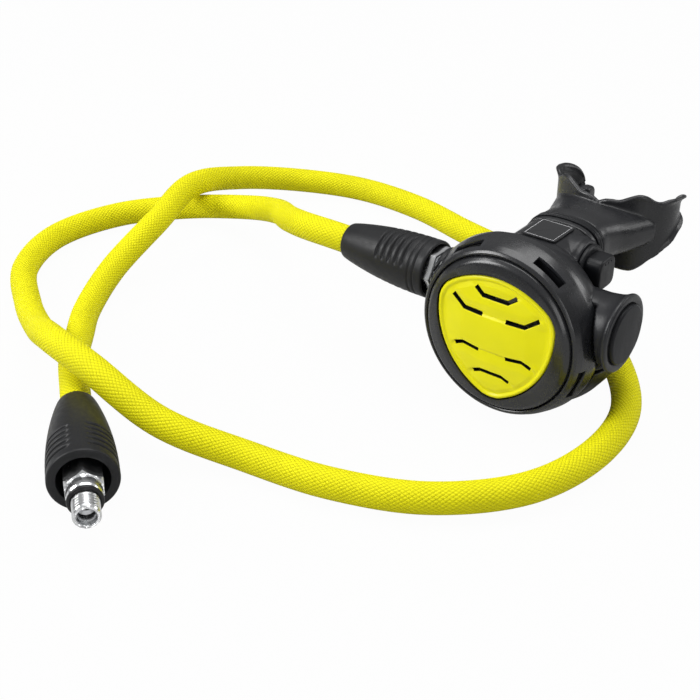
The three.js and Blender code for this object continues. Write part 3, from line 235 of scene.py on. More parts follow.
class RegulatorColours(bpy.types.PropertyGroup):
    """Colours of the regulator's finishes"""

    braid: colour_property("Hose braid", "Colour of the hose's braided cover", (0.87, 0.82, 0.0015))
    button: colour_property("Purge button", "Colour of the purge button", (0.92, 0.87, 0.0015))
    plastic: colour_property("Case plastic", "Colour of the case, ring and cover", (0.013, 0.0135, 0.0155))
    knob: colour_property("Knob plastic", "Colour of the knob and small pieces", (0.005, 0.0055, 0.007))
    rubber: colour_property("Sleeve rubber", "Colour of the rubber sleeves", (0.012, 0.0123, 0.0135))
    mouthpiece: colour_property("Mouthpiece", "Colour of the mouthpiece", (0.017, 0.0175, 0.0195))


def sizes():
    return bpy.context.scene.regulator_sizes


def colours():
    return bpy.context.scene.regulator_colours


# ---------- selecting and shaping ----------
def clear_selection():
    active = bpy.context.view_layer.objects.active
    if active is not None and active.mode != "OBJECT":
        bpy.ops.object.mode_set(mode="OBJECT")
    bpy.ops.object.select_all(action="DESELECT")


def only(piece):
    clear_selection()
    piece.select_set(True)
    bpy.context.view_layer.objects.active = piece


@contextmanager
def editing(piece):
    only(piece)
    bpy.ops.object.mode_set(mode="EDIT")
    yield
    bpy.ops.object.mode_set(mode="OBJECT")


def at(x, y, z):
    """A point of the cover's frame, in metres in the part's frame."""
    return (Vector((x, y, z)) + ORIGIN) * MM


def wire(name, points):
    """A closed line through the points, started from a circle."""
    clear_selection()
    bpy.ops.mesh.primitive_circle_add(vertices=len(points), radius=0.01, fill_type="NOTHING")
    piece = bpy.context.object
    piece.name = name
    piece.data.name = name
    for vertex, point in zip(piece.data.vertices, points):
        vertex.co = point
    return piece


def close_up(piece, merge=2e-6):
    """Merges doubles, drops loose edges and turns the faces outwards."""
    with editing(piece):
        bpy.ops.mesh.select_all(action="SELECT")
        bpy.ops.mesh.remove_doubles(threshold=merge)
        bpy.ops.mesh.delete_loose(use_verts=True, use_edges=True, use_faces=False)
        bpy.ops.mesh.select_all(action="SELECT")
        bpy.ops.mesh.normals_make_consistent(inside=False)


def spun(name, points, centre, axis, sides):
    """A line of points spun all the way round an axis."""
    piece = wire(name, points)
    with editing(piece):
        bpy.ops.mesh.select_all(action="SELECT")
        bpy.ops.mesh.spin(steps=sides, angle=2 * math.pi, center=centre, axis=axis)
    close_up(piece)
    return piece


def turned(name, profile, sides=96):
    """A profile of [radius, station] spun about the cover's axis."""
    return spun(name, [at(r, t, 0) for r, t in profile], at(0, 0, 0), AXIS_Y, sides)


def along_x(name, profile, y=VALVE_Y, z=VALVE_Z, sides=96):
    """A profile of [radius, station] spun about an axis along X, which is the valve's unless it is given."""
    return spun(name, [at(t, y, z + r) for r, t in profile], at(0, y, z), AXIS_X, sides)


def rod(name, r, x0, x1, y=VALVE_Y, z=VALVE_Z, sides=64):
    return along_x(name, [(0, x0), (r, x0), (r, x1), (0, x1)], y, z, sides)


def pushed(name, outline, push):
    """A closed outline filled and extruded along a vector, in metres."""
    piece = wire(name, outline)
    with editing(piece):
        bpy.ops.mesh.select_all(action="SELECT")
        bpy.ops.mesh.edge_face_add()
        bpy.ops.mesh.extrude_region_move(TRANSFORM_OT_translate={"value": push})
    close_up(piece)
    return piece


def pushed_y(name, outline, y0, y1):
    """An outline of [x, z], pushed along Y."""
    return pushed(name, [at(x, y0, z) for x, z in outline], (0, (y1 - y0) * MM, 0))


def pushed_x(name, outline, x0, x1):
    """An outline of [y, z], pushed along X."""
    return pushed(name, [at(x0, y, z) for y, z in outline], ((x1 - x0) * MM, 0, 0))


def skinned(name, sections, ends="capped"):
    """A wall through sections of equally many points, pulled on from the first one ring at a time.

    ends is capped, or joined where the last section is the first one again."""
    piece = wire(name, sections[0])
    only(piece)
    bpy.ops.object.mode_set(mode="EDIT")
    bpy.ops.mesh.select_mode(type="EDGE")
    bpy.ops.mesh.select_all(action="SELECT")
    place_of = {k: k for k in range(len(sections[0]))}
    for section in sections[1:]:
        bpy.ops.mesh.extrude_region_move()
        mesh = bmesh.from_edit_mesh(piece.data)
        mesh.verts.index_update()
        fresh = {}
        for vertex in mesh.verts:
            if vertex.select:
                old = next(e.other_vert(vertex) for e in vertex.link_edges
                           if not e.other_vert(vertex).select)
                fresh[vertex.index] = place_of[old.index]
                vertex.co = section[place_of[old.index]]
        place_of = fresh
        bmesh.update_edit_mesh(piece.data)
    if ends == "capped":
        bpy.ops.mesh.edge_face_add()
        count = len(sections[0])
        mesh = bmesh.from_edit_mesh(piece.data)
        for edge in mesh.edges:
            edge.select = all(v.index < count for v in edge.verts)
        bmesh.update_edit_mesh(piece.data)
        bpy.ops.mesh.edge_face_add()
    bpy.ops.mesh.select_mode(type="VERT")
    bpy.ops.object.mode_set(mode="OBJECT")
    close_up(piece)
    return piece


def apply_modifier(piece, kind, **settings):
    only(piece)
    bpy.ops.object.modifier_add(type=kind)
    modifier = piece.modifiers[-1]
    for key, value in settings.items():
        setattr(modifier, key, value)
    bpy.ops.object.modifier_apply(modifier=modifier.name)


def combine(piece, operation, *others):
    """Boolean of the piece with each of the others, which are used up."""
    for other in others:
        apply_modifier(piece, "BOOLEAN", operation=operation, solver="EXACT", object=other)
        if not piece.data.polygons:
            raise RuntimeError(f"{piece.name}: nothing was left after {other.name}")
        bpy.data.objects.remove(other)
    return piece


def cut(piece, *tools):
    return combine(piece, "DIFFERENCE", *tools)


def add(piece, *others):
    return combine(piece, "UNION", *others)


def round_edges(piece, width, segments=2, angle=38.0):
    """Rounds the edges sharper than the angle and shades the rest smooth."""
    apply_modifier(
        piece, "BEVEL", width=width * MM, segments=segments, limit_method="ANGLE",
        angle_limit=math.radians(angle), use_clamp_overlap=True)
    shade(piece)


def shade(piece, angle=38.0):
    only(piece)
    bpy.ops.object.shade_smooth_by_angle(angle=math.radians(angle))


def mould(piece, voxel, passes=4):
    """Melts the joined solids into one even skin with soft fillets, as a moulding has."""
    apply_modifier(piece, "REMESH", mode="VOXEL", voxel_size=voxel * MM, use_smooth_shade=True)
    apply_modifier(piece, "SMOOTH", factor=0.5, iterations=passes)


def keep(piece, material, body, node, print_or_painted_shade=None):
    """Dresses a finished piece and hands it to the frame; a second finish, a print or painted shade, keeps to
    the faces marked for it.
    """
    marks = [face.material_index for face in piece.data.polygons]
    piece.data.materials.clear()
    piece.data.materials.append(material)
    if print_or_painted_shade is not None:
        piece.data.materials.append(print_or_painted_shade)
        piece.data.polygons.foreach_set("material_index", [min(mark, 1) for mark in marks])
    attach(piece, body)
    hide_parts(node)


# ---------- outlines ----------
def rounded(points, radius, steps=4, sharper_than=14.0):
    """A closed outline with its corners replaced by arcs; a third number on a point is its own radius."""
    made = []
    count = len(points)
    for i, point in enumerate(points):
        here = Vector(point[:2])
        own = point[2] if len(point) > 2 else radius
        back = Vector(points[i - 1][:2]) - here
        on = Vector(points[(i + 1) % count][:2]) - here
        if own <= 0 or back.length < 1e-6 or on.length < 1e-6:
            made.append(tuple(here))
            continue
        turn = math.pi - back.angle(on)
        if math.degrees(turn) < sharper_than:
            made.append(tuple(here))
            continue
        reach = min(own * math.tan(turn / 2), 0.46 * back.length, 0.46 * on.length)
        start, end = here + back.normalized() * reach, here + on.normalized() * reach
        for k in range(steps + 1):
            f = k / steps
            made.append(tuple(start * (1 - f) ** 2 + here * 2 * f * (1 - f) + end * f ** 2))
    return made


def spread(start, sweep, steps):
    """Even steps over a sweep, with both ends."""
    return [start + sweep * k / steps for k in range(steps + 1)]


def round_about(cx, cz, r, angles):
    return [(cx + r * math.cos(a), cz + r * math.sin(a)) for a in angles]


def stadium(width, height, cz, steps=12):
    """Flat-sided outline with half-round ends, width along the first axis."""
    half, r = (width - height) / 2, height / 2
    right, left = spread(-math.pi / 2, math.pi, steps), spread(math.pi / 2, math.pi, steps)
    return round_about(half, cz, r, right) + round_about(-half, cz, r, left)


def rounded_square(size, corner, cx, cy, steps=8):
    h = size / 2
    corners = [(cx + h, cy + h), (cx - h, cy + h), (cx - h, cy - h), (cx + h, cy - h)]
    return rounded(corners, corner, steps)


def disc(r, cx, cz, sides=24):
    return round_about(cx, cz, r, spread(0, 2 * math.pi, sides)[:-1])


def sector(r0, r1, start, end, steps=10):
    """Part of a ring between two radii and two angles in degrees."""
    outward = [math.radians(a) for a in spread(start, end - start, steps)]
    back = [math.radians(a) for a in spread(end, start - end, steps)]
    return round_about(0, 0, r1, outward) + round_about(0, 0, r0, back)


def arc(start, end, radius, steps):
    """Points of an arc from one corner towards the next, bulging away from the middle."""
    (x0, z0), (x1, z1) = start, end
    chord = math.hypot(x1 - x0, z1 - z0)
    mx, mz = (x0 + x1) / 2, (z0 + z1) / 2
    depth = math.sqrt(radius ** 2 - chord ** 2 / 4)
    nx, nz = -(z1 - z0) / chord, (x1 - x0) / chord
    if nx * mx + nz * mz < 0:
        nx, nz = -nx, -nz
    cx, cz = mx - nx * depth, mz - nz * depth
    a0 = math.atan2(z0 - cz, x0 - cx)
    turn = (math.atan2(z1 - cz, x1 - cx) - a0 + math.pi) % (2 * math.pi) - math.pi
    return [(cx + radius * math.cos(a0 + turn * k / steps), cz + radius * math.sin(a0 + turn * k / steps))
            for k in range(steps)]


# Points on each of the shield's three arcs, and how often the three corners are smoothed.
SHIELD_STEPS = 60
CORNER_PASSES = 17


def shield(offset):
    """The button's outline, grown or shrunk by an offset, with its three corners rounded."""
    cx, cz = SHIELD_CORNER
    left = (-cx - offset, cz + offset / 2)
    right = (cx + offset, cz + offset / 2)
    tip = (0.0, SHIELD_TIP_Z - offset)
    points = []
    sides = ((right, left, SHIELD_TOP_R), (left, tip, SHIELD_SIDE_R), (tip, right, SHIELD_SIDE_R))
    for start, end, radius in sides:
        points += arc(start, end, radius + offset, SHIELD_STEPS)
    count = len(points)
    for _ in range(CORNER_PASSES):
        for i in (0, SHIELD_STEPS, 2 * SHIELD_STEPS):
            for j in range(i - 3, i + 4):
                a, b, c = (points[(j + k) % count] for k in (-1, 0, 1))
                points[j % count] = tuple((p + 2 * q + r) / 4 for p, q, r in zip(a, b, c))
    return points


def band_along(points, width):
    """A band of given width along a broken line."""
    left, right = [], []
    for i, (x, z) in enumerate(points):
        px, pz = points[max(i - 1, 0)]
        qx, qz = points[min(i + 1, len(points) - 1)]
        length = math.hypot(qx - px, qz - pz)
        nx, nz = -(qz - pz) / length * width / 2, (qx - px) / length * width / 2
        left.append((x + nx, z + nz))
        right.insert(0, (x - nx, z - nz))
    return left + right


def oval(y, half_w, half_h, cz, power=2.6, sides=48):
    """An upright section at y: power 2 is an ellipse, more is squarer."""
    points = []
    for k in range(sides):
        c, s = math.cos(2 * math.pi * k / sides), math.sin(2 * math.pi * k / sides)
        points.append(at(half_w * math.copysign(abs(c) ** (2 / power), c), y,
                         cz + half_h * math.copysign(abs(s) ** (2 / power), s)))
    return points


def blended(rows, steps):
    """Rows of numbers joined by a smooth curve through them."""
    made = []
    for i in range(len(rows) - 1):
        p0, p1, p2 = rows[max(i - 1, 0)], rows[i], rows[i + 1]
        p3 = rows[min(i + 2, len(rows) - 1)]
        for k in range(steps):
            t = k / steps
            made.append([0.5 * (2 * b + (c - a) * t + (2 * a - 5 * b + 4 * c - d) * t ** 2
                                + (3 * b - a - 3 * c + d) * t ** 3) for a, b, c, d in zip(p0, p1, p2, p3)])
    return made + [list(rows[-1])]


def eased(value, low, high):
    """0 below low, 1 above high and smooth between."""
    t = min(max((value - low) / (high - low), 0.0), 1.0)
    return t * t * (3 - 2 * t)


# ---------- finishes ----------
class Nodes:
    """A node tree as it is wired up; a socket is fed a number, a colour or another node's output."""

    def __init__(self, owner):
        owner.use_nodes = True
        self.nodes, self.links = owner.node_tree.nodes, owner.node_tree.links
        self.nodes.clear()

    def node(self, kind, *values):
        """Adds a node and feeds its first sockets."""
        node = self.nodes.new(f"ShaderNode{kind}")
        for socket, value in zip(node.inputs, values):
            self.feed(socket, value)
        return node

    def feed(self, socket, value):
        if isinstance(value, bpy.types.NodeSocket):
            self.links.new(value, socket)
        else:
            socket.default_value = value

    def math(self, operation, *values):
        node = self.node("Math", *values)
        node.operation = operation
        return node.outputs[0]


class Finish(Nodes):
    """One material's nodes, from its texture coordinates to its shader."""

    def __init__(self, name, coordinates="Object"):
        self.material = bpy.data.materials.new(name)
        super().__init__(self.material)
        self.shader = self.node("BsdfPrincipled")
        self.node("OutputMaterial", self.shader.outputs["BSDF"])
        self.place = self.node("TexCoord").outputs[coordinates]

    def set(self, **values):
        for key, value in values.items():
            self.feed(self.shader.inputs[key.replace("_", " ")], value)

    def noise(self, scale, detail=3.0, roughness=0.55, place=None, stretch=None):
        vector = self.place if place is None else place
        if stretch is not None:
            mapping = self.node("Mapping", vector)
            mapping.inputs["Scale"].default_value = stretch
            vector = mapping.outputs["Vector"]
        node = self.node("TexNoise", vector)
        node.inputs["Scale"].default_value = scale
        node.inputs["Detail"].default_value = detail
        node.inputs["Roughness"].default_value = roughness
        return node.outputs["Fac"]

    def grains(self, scale):
        node = self.node("TexVoronoi", self.place)
        node.inputs["Scale"].default_value = scale
        return node.outputs["Distance"]

    def range(self, value, low, high, to_low, to_high):
        return self.node("MapRange", value, low, high, to_low, to_high).outputs[0]

    def mix(self, factor, a, b, blend="MIX"):
        node = self.node("Mix")
        node.data_type = "RGBA"
        node.blend_type = blend
        self.feed(node.inputs["Factor"], factor)
        colour_sockets = [s for s in node.inputs if s.type == "RGBA"]
        for socket, value in zip(colour_sockets, (a, b)):
            self.feed(socket, value if isinstance(value, bpy.types.NodeSocket) else (*value[:3], 1.0))
        return next(s for s in node.outputs if s.type == "RGBA")

    def edges(self, low=0.5, high=0.56):
        """1 where the surface turns sharply outwards."""
        return self.range(self.node("NewGeometry").outputs["Pointiness"], low, high, 0.0, 1.0)

    def bump(self, height, strength, distance, under=None):
        node = self.node("Bump")
        self.feed(node.inputs["Height"], height)
        node.inputs["Strength"].default_value = strength
        node.inputs["Distance"].default_value = distance
        if under is not None:
            self.links.new(under, node.inputs["Normal"])
        return node.outputs["Normal"]


def shade_of(colour, factor):
    return tuple(min(c * factor, 1.0) for c in colour)


def moulded(name, colour, roughness, grain=0.12, coat=0.0, wear=0.35, patchy=0.14, specular=0.32):
    """Injection-moulded plastic: spark-eroded grain, faint flow marks and slightly polished edges."""
    f = Finish(name)
    clouds = f.noise(70.0, 4.0)
    tone = f.mix(f.range(clouds, 0.35, 0.65, 0.0, 1.0), shade_of(colour, 1 - patchy),
                 shade_of(colour, 1 + patchy))
    tone = f.mix(f.math("MULTIPLY", f.edges(), wear), tone, shade_of(colour, 2.2))
    scuffs = f.noise(260.0, 5.0, 0.7, stretch=(1.0, 1.0, 0.25))
    rough = f.range(scuffs, 0.3, 0.72, roughness - 0.06, roughness + 0.08)
    fine = f.noise(5200.0, 2.0, 0.6)
    coarse = f.bump(clouds, 0.05, 0.0006)
    f.set(Base_Color=tone, Roughness=rough, Normal=f.bump(fine, grain, 0.00008, coarse))
    f.set(Coat_Weight=coat, Coat_Roughness=0.18, Specular_IOR_Level=specular)
    return f.material


def rubbery(name, colour, roughness, specular=0.33):
    """Moulded rubber: fine tooth, changing polish and dusty, paler edges."""
    f = Finish(name)
    clouds = f.noise(55.0, 5.0)
    tone = f.mix(f.range(clouds, 0.3, 0.7, 0.0, 1.0), shade_of(colour, 0.8), shade_of(colour, 1.25))
    tone = f.mix(f.math("MULTIPLY", f.edges(0.5, 0.58), 0.4), tone, shade_of(colour, 1.9))
    rough = f.range(f.noise(420.0, 4.0), 0.3, 0.7, roughness - 0.05, roughness + 0.09)
    tooth = f.math("ADD", f.noise(3600.0, 3.0, 0.65), f.grains(2400.0))
    f.set(Base_Color=tone, Roughness=rough, Normal=f.bump(tooth, 0.16, 0.00009))
    f.set(Specular_IOR_Level=specular)
    return f.material


def braided(name, colour, strands):
    """Two sets of strands that cross over and under, on a UV map of one round by one round, with painted
    shade where they lie low.
    """
    f = Finish(name, "UV")
    split = f.node("SeparateXYZ", f.place)
    round_way = f.math("MULTIPLY", split.outputs["X"], float(strands))
    along = f.math("MULTIPLY", split.outputs["Y"], strands * 0.7)
    first, second = f.math("ADD", round_way, along), f.math("SUBTRACT", round_way, along)
    over = f.math("FLOORED_MODULO", f.math("ADD", f.math("FLOOR", first), f.math("FLOOR", second)), 2.0)

    def strand(value, cross):
        """Height of one set of strands: round across, humped where it passes over the other set."""
        back = f.math("SINE", f.math("MULTIPLY", f.math("FRACT", value), math.pi))
        hump = f.math("SINE", f.math("MULTIPLY", f.math("FRACT", cross), math.pi))
        hump = f.math("MULTIPLY_ADD", hump, 0.55, 0.45)
        return f.math("MULTIPLY", f.math("POWER", back, 0.5), hump)

    one, other = strand(first, second), strand(second, first)
    height = f.math("ADD", f.math("MULTIPLY", over, one),
                    f.math("MULTIPLY", f.math("SUBTRACT", 1.0, over), other))
    twist = f.node("TexWave", f.place)
    twist.bands_direction = "DIAGONAL"
    twist.inputs["Scale"].default_value = strands * 1.4
    twist.inputs["Distortion"].default_value = 1.2
    solid = f.node("TexCoord").outputs["Object"]
    patches = f.noise(38.0, 4.0, place=solid)
    tone = f.mix(f.range(patches, 0.3, 0.7, 0.0, 1.0), shade_of(colour, 0.93), shade_of(colour, 1.05))
    fibre = f.range(twist.outputs["Fac"], 0.0, 1.0, 0.9, 1.0)
    tone = f.mix(1.0, tone, f.mix(fibre, (0.8, 0.8, 0.8), (1.0, 1.0, 1.0)), "MULTIPLY")
    # Painted shade: the colour darkens to 0.7 where the strands lie low, between and under one another.
    depth = f.range(height, 0.12, 0.62, 0.0, 1.0)
    tone = f.mix(depth, shade_of(colour, 0.7), tone)
    relief = f.math("ADD", height, f.math("MULTIPLY", twist.outputs["Fac"], 0.08))
    f.set(Base_Color=tone, Normal=f.bump(relief, 0.8, 0.0004),
          Roughness=f.range(height, 0.0, 1.0, 0.8, 0.6))
    f.set(Specular_IOR_Level=0.2)
    return f.material


def metal(name, colour, roughness, scratch=(1.0, 1.0, 1.0)):
    """Polished or turned metal: fine marks, small changes of polish, dull specks."""
    f = Finish(name)
    marks = f.noise(900.0, 4.0, 0.6, stretch=scratch)
    patches = f.noise(130.0, 4.0)
    tone = f.mix(f.range(patches, 0.3, 0.7, 0.0, 1.0), shade_of(colour, 0.93), colour)
    rough = f.math("ADD", f.range(patches, 0.3, 0.7, roughness * 0.7, roughness * 1.3),
                   f.range(marks, 0.4, 0.8, 0.0, 0.06))
    f.set(Base_Color=tone, Roughness=rough, Normal=f.bump(marks, 0.06, 0.00004))
    f.set(Metallic=1.0)
    return f.material


def finish_of(kind):
    """The named finish, made the first time that it is asked for."""
    name = f"{kind}_finish"
    if name in bpy.data.materials:
        return bpy.data.materials[name]
    c = colours()
    makers = {
        "case_plastic": lambda: moulded(name, c.plastic, 0.34, specular=0.4),
        "ring_plastic": lambda: moulded(name, c.plastic, 0.26, 0.05, coat=0.25, specular=0.5),
        "cap_plastic": lambda: moulded(name, c.plastic, 0.36, specular=0.12),
        "knob_plastic": lambda: moulded(name, c.knob, 0.42, wear=0.2),
        "button_plastic": lambda: moulded(name, c.button, 0.36, 0.04, coat=0.1, wear=0.0, patchy=0.02),
        # Near-black finish: painted shade on the walls of the button's slots.
        "slot_painted_shade": lambda: moulded(name, (0.004, 0.004, 0.004), 0.6, 0.04, wear=0.0),
        "badge_plate": lambda: moulded(name, c.knob, 0.2, 0.02, coat=0.6, wear=0.1, specular=0.5),
        "keyline": lambda: moulded(name, (0.45, 0.45, 0.46), 0.4, 0.02, wear=0.0),
        "sleeve_rubber": lambda: rubbery(name, c.rubber, 0.42),
        "mouthpiece_rubber": lambda: rubbery(name, c.mouthpiece, 0.3, specular=0.5),
        "seal_rubber": lambda: rubbery(name, (0.012, 0.012, 0.013), 0.32),
        "braid": lambda: braided(name, c.braid, sizes().braid_strands),
        "chrome": lambda: metal(name, (0.86, 0.87, 0.88), 0.2),
        # Near-black metal: painted shade inside the end fitting's bore.
        "bore_painted_shade": lambda: metal(name, (0.04, 0.04, 0.045), 0.45),
        "turned_steel": lambda: metal(name, (0.60, 0.61, 0.62), 0.24, (1.0, 0.2, 0.2)),
        "brass": lambda: metal(name, (0.72, 0.52, 0.22), 0.22, (0.2, 1.0, 1.0)),
        "silicone": lambda: rubbery(name, (0.16, 0.17, 0.18), 0.4),
        "white_plastic": lambda: moulded(name, (0.74, 0.74, 0.70), 0.45, wear=0.0),
    }
    return makers[kind]()


# ---------- hose ----------
SPAN_STEPS = 60


def hose_line(step):
    """Evenly spaced points of the hose's middle line, on a curve through HOSE_POINTS."""
    points = [Vector(p) for p in HOSE_POINTS]
    points = [points[0] * 2 - points[1], *points, points[-1] * 2 - points[-2]]
    line = []
    for i in range(1, len(points) - 2):
        p0, p1, p2, p3 = points[i - 1:i + 3]
        d0, d1, d2 = (math.sqrt((b - a).length) for a, b in ((p0, p1), (p1, p2), (p2, p3)))
        m1 = ((p1 - p0) / d0 - (p2 - p0) / (d0 + d1) + (p2 - p1) / d1) * d1
        m2 = ((p2 - p1) / d1 - (p3 - p1) / (d1 + d2) + (p3 - p2) / d2) * d1
        for k in range(SPAN_STEPS):
            t = k / SPAN_STEPS
            line.append(p1 * (2 * t ** 3 - 3 * t ** 2 + 1) + m1 * (t ** 3 - 2 * t ** 2 + t)
                        + p2 * (3 * t ** 2 - 2 * t ** 3) + m2 * (t ** 3 - t ** 2))
    line.append(points[-2].copy())
    run = [0.0]
    for a, b in zip(line, line[1:]):
        run.append(run[-1] + (b - a).length)
    count = round(run[-1] / step)
    even, j = [], 0
    for k in range(count + 1):
        want = run[-1] * k / count
        while j < len(line) - 2 and run[j + 1] < want:
            j += 1
        f = (want - run[j]) / max(run[j + 1] - run[j], 1e-12)
        even.append(line[j].lerp(line[j + 1], min(f, 1.0)))
    return even, run[-1]


def tube_along(name, line, radius, sides, length):
    """A closed mesh tube on a line, with a UV map in rounds of the tube each way."""
    side = (line[1] - line[0]).cross(Vector((0, 0, 1))).normalized()
    vertices, faces, uvs = [], [], []
    for i, middle in enumerate(line):
        ahead = (line[min(i + 1, len(line) - 1)] - line[max(i - 1, 0)]).normalized()
        side = (side - ahead * side.dot(ahead)).normalized()
        up = ahead.cross(side)
        for k in range(sides):
            a = 2 * math.pi * k / sides
            vertices.append(middle + (side * math.cos(a) + up * math.sin(a)) * radius)
    round_length = 2 * math.pi * radius
    for i in range(len(line) - 1):
        v0, v1 = (length * n / (len(line) - 1) / round_length for n in (i, i + 1))
        for k in range(sides):
            n = (k + 1) % sides
            faces.append((i * sides + k, i * sides + n, (i + 1) * sides + n, (i + 1) * sides + k))
            u0, u1 = k / sides, (k + 1) / sides
            uvs += [(u0, v0), (u1, v0), (u1, v1), (u0, v1)]
    last = (len(line) - 1) * sides
    faces += [tuple(reversed(range(sides))), tuple(range(last, last + sides))]
    uvs += [(0.5, 0.0)] * sides + [(0.5, length / round_length)] * sides
    mesh = bpy.data.meshes.new(name)
    mesh.from_pydata(vertices, [], faces)
    layer = mesh.uv_layers.new(name="braid")
    for loop, uv in zip(layer.data, uvs):
        loop.uv = uv
    tube = bpy.data.objects.new(name, mesh)
    bpy.context.scene.collection.objects.link(tube)
    mesh.shade_smooth()
    return tube


class REGULATOR_OT_hose(bpy.types.Operator):
    """Lay the braided low-pressure hose along its route"""

    bl_idname = "regulator.hose"
    bl_label = "Hose"

    def execute(self, context):
        line, length = hose_line(HOSE_RING_STEP)
        hose = tube_along("braided_hose", line, sizes().hose_diameter / 2, HOSE_SIDES, length)
        close_up(hose)
        shade(hose, 50)
        keep(hose, finish_of("braid"), "regulator", "lp_hose")
        hose["route"] = [c for p in line for c in p]
        return {"FINISHED"}


# ---------- rubber sleeves ----------
GROOVES = 5
GROOVE_PITCH = 3.6
GROOVE_W = 1.5
GROOVE_SPREAD = 1.6  # reach of a groove's soft sides, in half widths
GROOVES_TO_END = 5.4
PANEL_BLEND = 12.0  # degrees in which the grooves run out beside the bare panel
RIDGE_STATIONS = (4.6, 7.2)
RIDGE_W = 1.4
RIDGE_DEPTH = 0.55
SLEEVE_EDGE = 1.1
SLEEVE_EDGE_DEPTH = 0.8


def wave(off):
    """1 in the middle of a groove and 0 at its sides."""
    return 0.5 + 0.5 * math.cos(math.pi * min(off, 1.0))


def sleeve(name, length, open_r, cavity, inner_start, place, panel, ridged=0.0):
    """A rubber boot: swelling body, grip grooves that stop at a bare panel on each side, open end.

    cavity is [radius, start] of the room behind the open end, panel is [angle, half width in degrees]
    and ridged is the length of a ridged rim. place maps [radius, angle, station] to a point; the station
    is 0 at the mouth."""
    (cavity_r, cavity_start), (panel_angle, panel_half) = cavity, panel
    deep = sizes().groove_depth / MM
    first = length - GROOVES_TO_END - (GROOVES - 1) * GROOVE_PITCH - ridged

    def body(t):
        reach = math.sin(math.pi / 2 * min(max(t, 0.0) / (length - 6), 1.0)) ** 0.8
        return SLEEVE_MOUTH_R + (open_r - SLEEVE_MOUTH_R) * reach

    def outer(t, angle):
        r = body(t)
        from_panel = abs((angle - panel_angle + 90.0) % 180.0 - 90.0)
        gripped = eased(from_panel, panel_half - PANEL_BLEND / 2, panel_half + PANEL_BLEND / 2)
        for i in range(GROOVES):
            off = abs(t - (first + i * GROOVE_PITCH)) / (GROOVE_W / 2)
            r -= deep * gripped * wave(off / GROOVE_SPREAD)
        if ridged:
            for from_end in RIDGE_STATIONS:
                r -= RIDGE_DEPTH * wave(abs(t - (length - from_end)) / (RIDGE_W / 2))
        edge = min(length - t, t)
        if edge < SLEEVE_EDGE:
            r -= SLEEVE_EDGE_DEPTH * (1 - math.sqrt(max(1 - (1 - edge / SLEEVE_EDGE) ** 2, 0.0)))
        return r

    stations = [0.0, 0.12, 0.3, 0.55, 0.9, 1.6, 2.6, 4.0]
    t = 6.0
    while t < first - 3:
        stations.append(t)
        t += 2.0
    t = first - 2.6
    while t < length - 1.0:
        stations.append(t)
        t += 0.28
    stations += [length - 0.9, length - 0.55, length - 0.3, length - 0.12, length]
    angles = [360.0 * k / 96 for k in range(96)]
    sections = [[place(outer(t, a), a, t) for a in angles] for t in stations]
    inside = [(cavity_r + 0.35, length), (cavity_r + 0.08, length - 0.25),
              (cavity_r, length - 0.8), (cavity_r, cavity_start + 0.6),
              (cavity_r - 0.3, cavity_start + 0.1), (SLEEVE_INNER_R, cavity_start - 3),
              (SLEEVE_INNER_R, inner_start + 1.6), (SLEEVE_BORE_R, inner_start),
              (SLEEVE_BORE_R, 0.5), (SLEEVE_BORE_R + 0.25, 0.0)]
    sections += [[place(r, a, t) for a in angles] for r, t in inside]
    sections.append(sections[0])
    made = skinned(name, sections, "joined")
    shade(made, 60)
    return made


def end_frame():
    """Maps local millimetres of the hose's far end, +X running out of the hose, to the part's frame."""
    turn = Matrix.Rotation(math.radians(END_ANGLE), 4, "Z")
    return Matrix.Scale(MM, 4) @ Matrix.Translation(END_START) @ turn


class REGULATOR_OT_sleeves(bpy.types.Operator):
    """Make the two rubber sleeves that cover the hose's fittings"""

    bl_idname = "regulator.sleeves"
    bl_label = "Rubber sleeves"

    def execute(self, context):
        def at_inlet(r, angle, t):
            a = math.radians(angle)
            x = IN_SLEEVE_OPEN_X - IN_SLEEVE_LENGTH + t
            return at(x, VALVE_Y + r * math.cos(a), VALVE_Z + r * math.sin(a))

        inlet = sleeve("inlet_boot", IN_SLEEVE_LENGTH, IN_SLEEVE_R, IN_CAVITY, IN_INNER_START, at_inlet,
                       IN_PANEL, IN_RIDGED)
        keep(inlet, finish_of("sleeve_rubber"), "inlet_sleeve", "inlet_sleeve")
        to_end = end_frame()

        def at_end(r, angle, t):
            a = math.radians(angle)
            return to_end @ Vector((END_SLEEVE_X + t, r * math.cos(a), r * math.sin(a)))

        end = sleeve(
            "end_boot", END_SLEEVE_LENGTH, END_SLEEVE_R, END_CAVITY, END_INNER_START, at_end, END_PANEL)
        keep(end, finish_of("sleeve_rubber"), "end_sleeve", "end_sleeve")
        return {"FINISHED"}


# ---------- metal fittings ----------
NUT_START_X = -53.0
NUT_END_X = -41.9
LOCK_RING = ((6.9, -41.6), (8.4, -41.6), (8.7, -41.3), (8.7, -40.7), (6.9, -40.7))


def hex_body(name, across, x0, x1, y, z, chamfered_far, turn=0.0):
    """A hexagon along X with turned chamfers on its corners, at its start and if asked at its far end."""
    half, corner = across / 2, across / math.sqrt(3)
    angles = [math.radians(a) for a in spread(turn, 360.0, 6)[:-1]]
    nut = pushed_x(name, round_about(y, z, corner, angles), x0, x1)
    chamfer = [(0, x0), (half + 0.1, x0), (corner + 1, x0 + 2.0)]
    chamfer += [(corner + 1, x1 - 2.0), (half + 0.1, x1)] if chamfered_far else [(corner + 1, x1)]
    return combine(nut, "INTERSECT", along_x("chamfer", [*chamfer, (0, x1)], y, z, 72))


